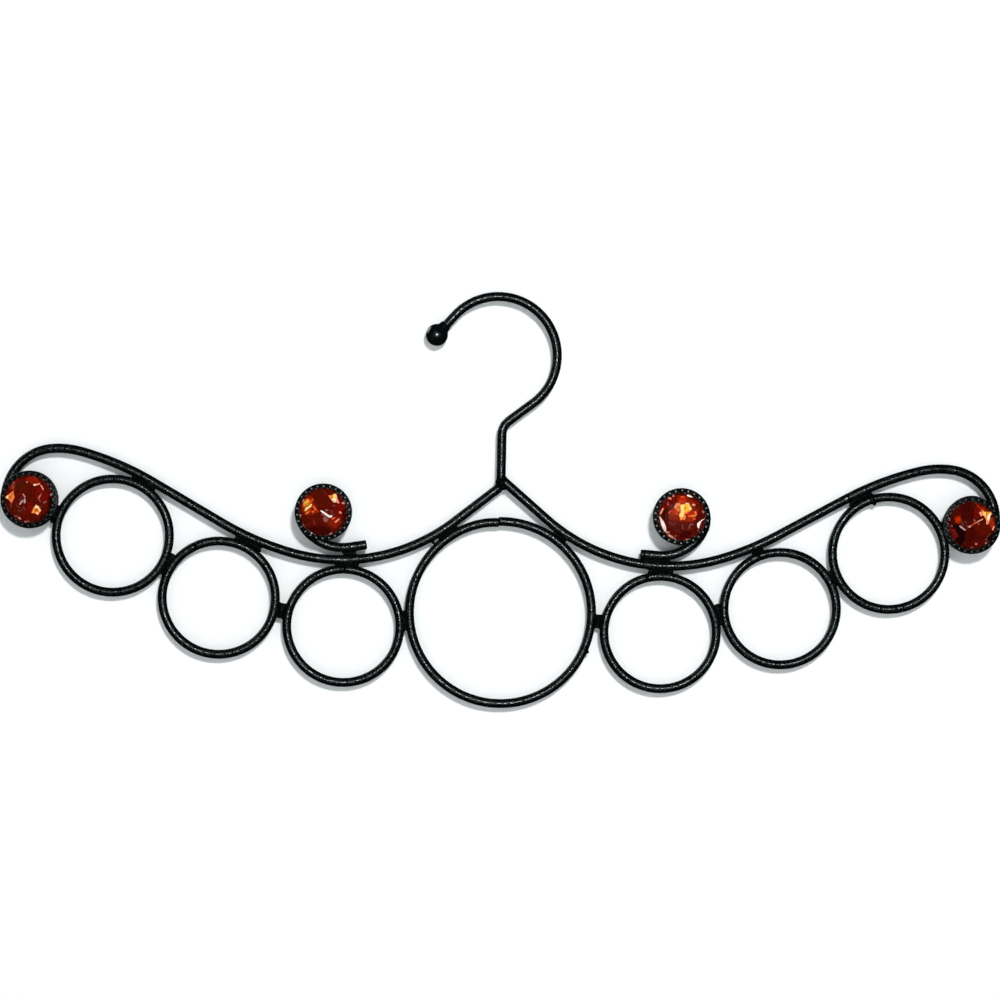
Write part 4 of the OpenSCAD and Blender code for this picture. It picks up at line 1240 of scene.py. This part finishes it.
# %% Stage
def pale(name, colour, one_sided):
    material, tree, shader = new_material(name)
    shader.inputs["Base Color"].default_value = (*colour, 1)
    shader.inputs["Roughness"].default_value = 0.9
    shader.inputs["Specular IOR Level"].default_value = 0.1
    if one_sided:
        output = tree.nodes["Material Output"]
        clear = add_node(tree, "ShaderNodeBsdfTransparent")
        ray = add_node(tree, "ShaderNodeLightPath")
        back = add_node(tree, "ShaderNodeNewGeometry")
        front = add_node(tree, "ShaderNodeMath", {0: 1.0}, operation="SUBTRACT")
        seen = add_node(tree, "ShaderNodeMath", operation="MULTIPLY")
        mix = add_node(tree, "ShaderNodeMixShader")
        link = tree.links.new
        link(back.outputs["Backfacing"], front.inputs[1])
        link(front.outputs["Value"], seen.inputs[0])
        link(ray.outputs["Is Camera Ray"], seen.inputs[1])
        link(seen.outputs["Value"], mix.inputs["Fac"])
        link(clear.outputs["BSDF"], mix.inputs[1])
        link(shader.outputs["BSDF"], mix.inputs[2])
        link(mix.outputs["Shader"], output.inputs["Surface"])
    return material


def stage_plane(name, size, place, material):
    mesh = bmesh.new()
    bmesh.ops.create_grid(mesh, x_segments=1, y_segments=1, size=size / 2, matrix=place)
    plane = mesh_object(mesh, name, material)
    return plane


BOARD_Y = 4.5 * MM
FLOOR_Z = -0.32
upright = Matrix.Translation((0, BOARD_Y, 0)) @ Matrix.Rotation(math.radians(90), 4, "X")
level = Matrix.Translation((0, 0, FLOOR_Z))
stage_plane("board", 6, upright, pale("white board", (0.9, 0.905, 0.91), True))
floor = stage_plane("floor", 8, level, pale("pale floor", (0.8, 0.8, 0.8), False))
floor.visible_glossy = False
print("board behind the wires, mm:", BOARD_Y / MM, "floor, mm:", round(FLOOR_Z / MM))

# %% Lamps
HANGER_MIDDLE = Vector((RING_ROW_X, 0, RING_ROW_Z + 51)) * MM


def lamp(name, direction, distance, size, power, colour=(1, 1, 1)):
    """A round soft lamp that faces the hanger's middle, in metres and watts."""
    data = bpy.data.lights.new(name, "AREA")
    data.shape = "DISK"
    data.size = size
    data.energy = power
    data.color = colour
    light = bpy.data.objects.new(name, data)
    bpy.context.collection.objects.link(light)
    light.location = HANGER_MIDDLE + Vector(direction).normalized() * distance
    light.rotation_euler = (HANGER_MIDDLE - light.location).to_track_quat("-Z", "Y").to_euler()
    print(name, "at, m:", [round(c, 2) for c in light.location])
    return light


shadow_lamp = lamp("shadow lamp", direction=(0.19, -1.0, 0.44), distance=2.6, size=0.32, power=50)
shadow_lamp.visible_glossy = False
glint_lamp = lamp("glint lamp", direction=(0.025, -1.0, 0.07), distance=1.6, size=0.3, power=15,
                  colour=(0.86, 1.0, 0.98))
glint_lamp.visible_diffuse = False
lamp("back lamp", direction=(-0.75, 0.55, 0.5), distance=2.4, size=1.5, power=12)

# %% Sky
SKY_LIGHT, SKY_IN_GLOSS = 0.46, 0.008
world = bpy.data.worlds.new("pale sky")
world.use_nodes = True
sky = world.node_tree
sky_ray = add_node(sky, "ShaderNodeLightPath")
sky_power = add_node(sky, "ShaderNodeMapRange", {"To Min": SKY_LIGHT, "To Max": SKY_IN_GLOSS})
sky.links.new(sky_ray.outputs["Is Glossy Ray"], sky_power.inputs["Value"])
sky.links.new(sky_power.outputs["Result"], sky.nodes["Background"].inputs["Strength"])
sky.nodes["Background"].inputs["Color"].default_value = (0.9, 0.98, 1.0, 1)
bpy.context.scene.world = world
bpy.context.scene.view_settings.view_transform = "Standard"
print("sky:", SKY_LIGHT, "and in the gloss:", SKY_IN_GLOSS)
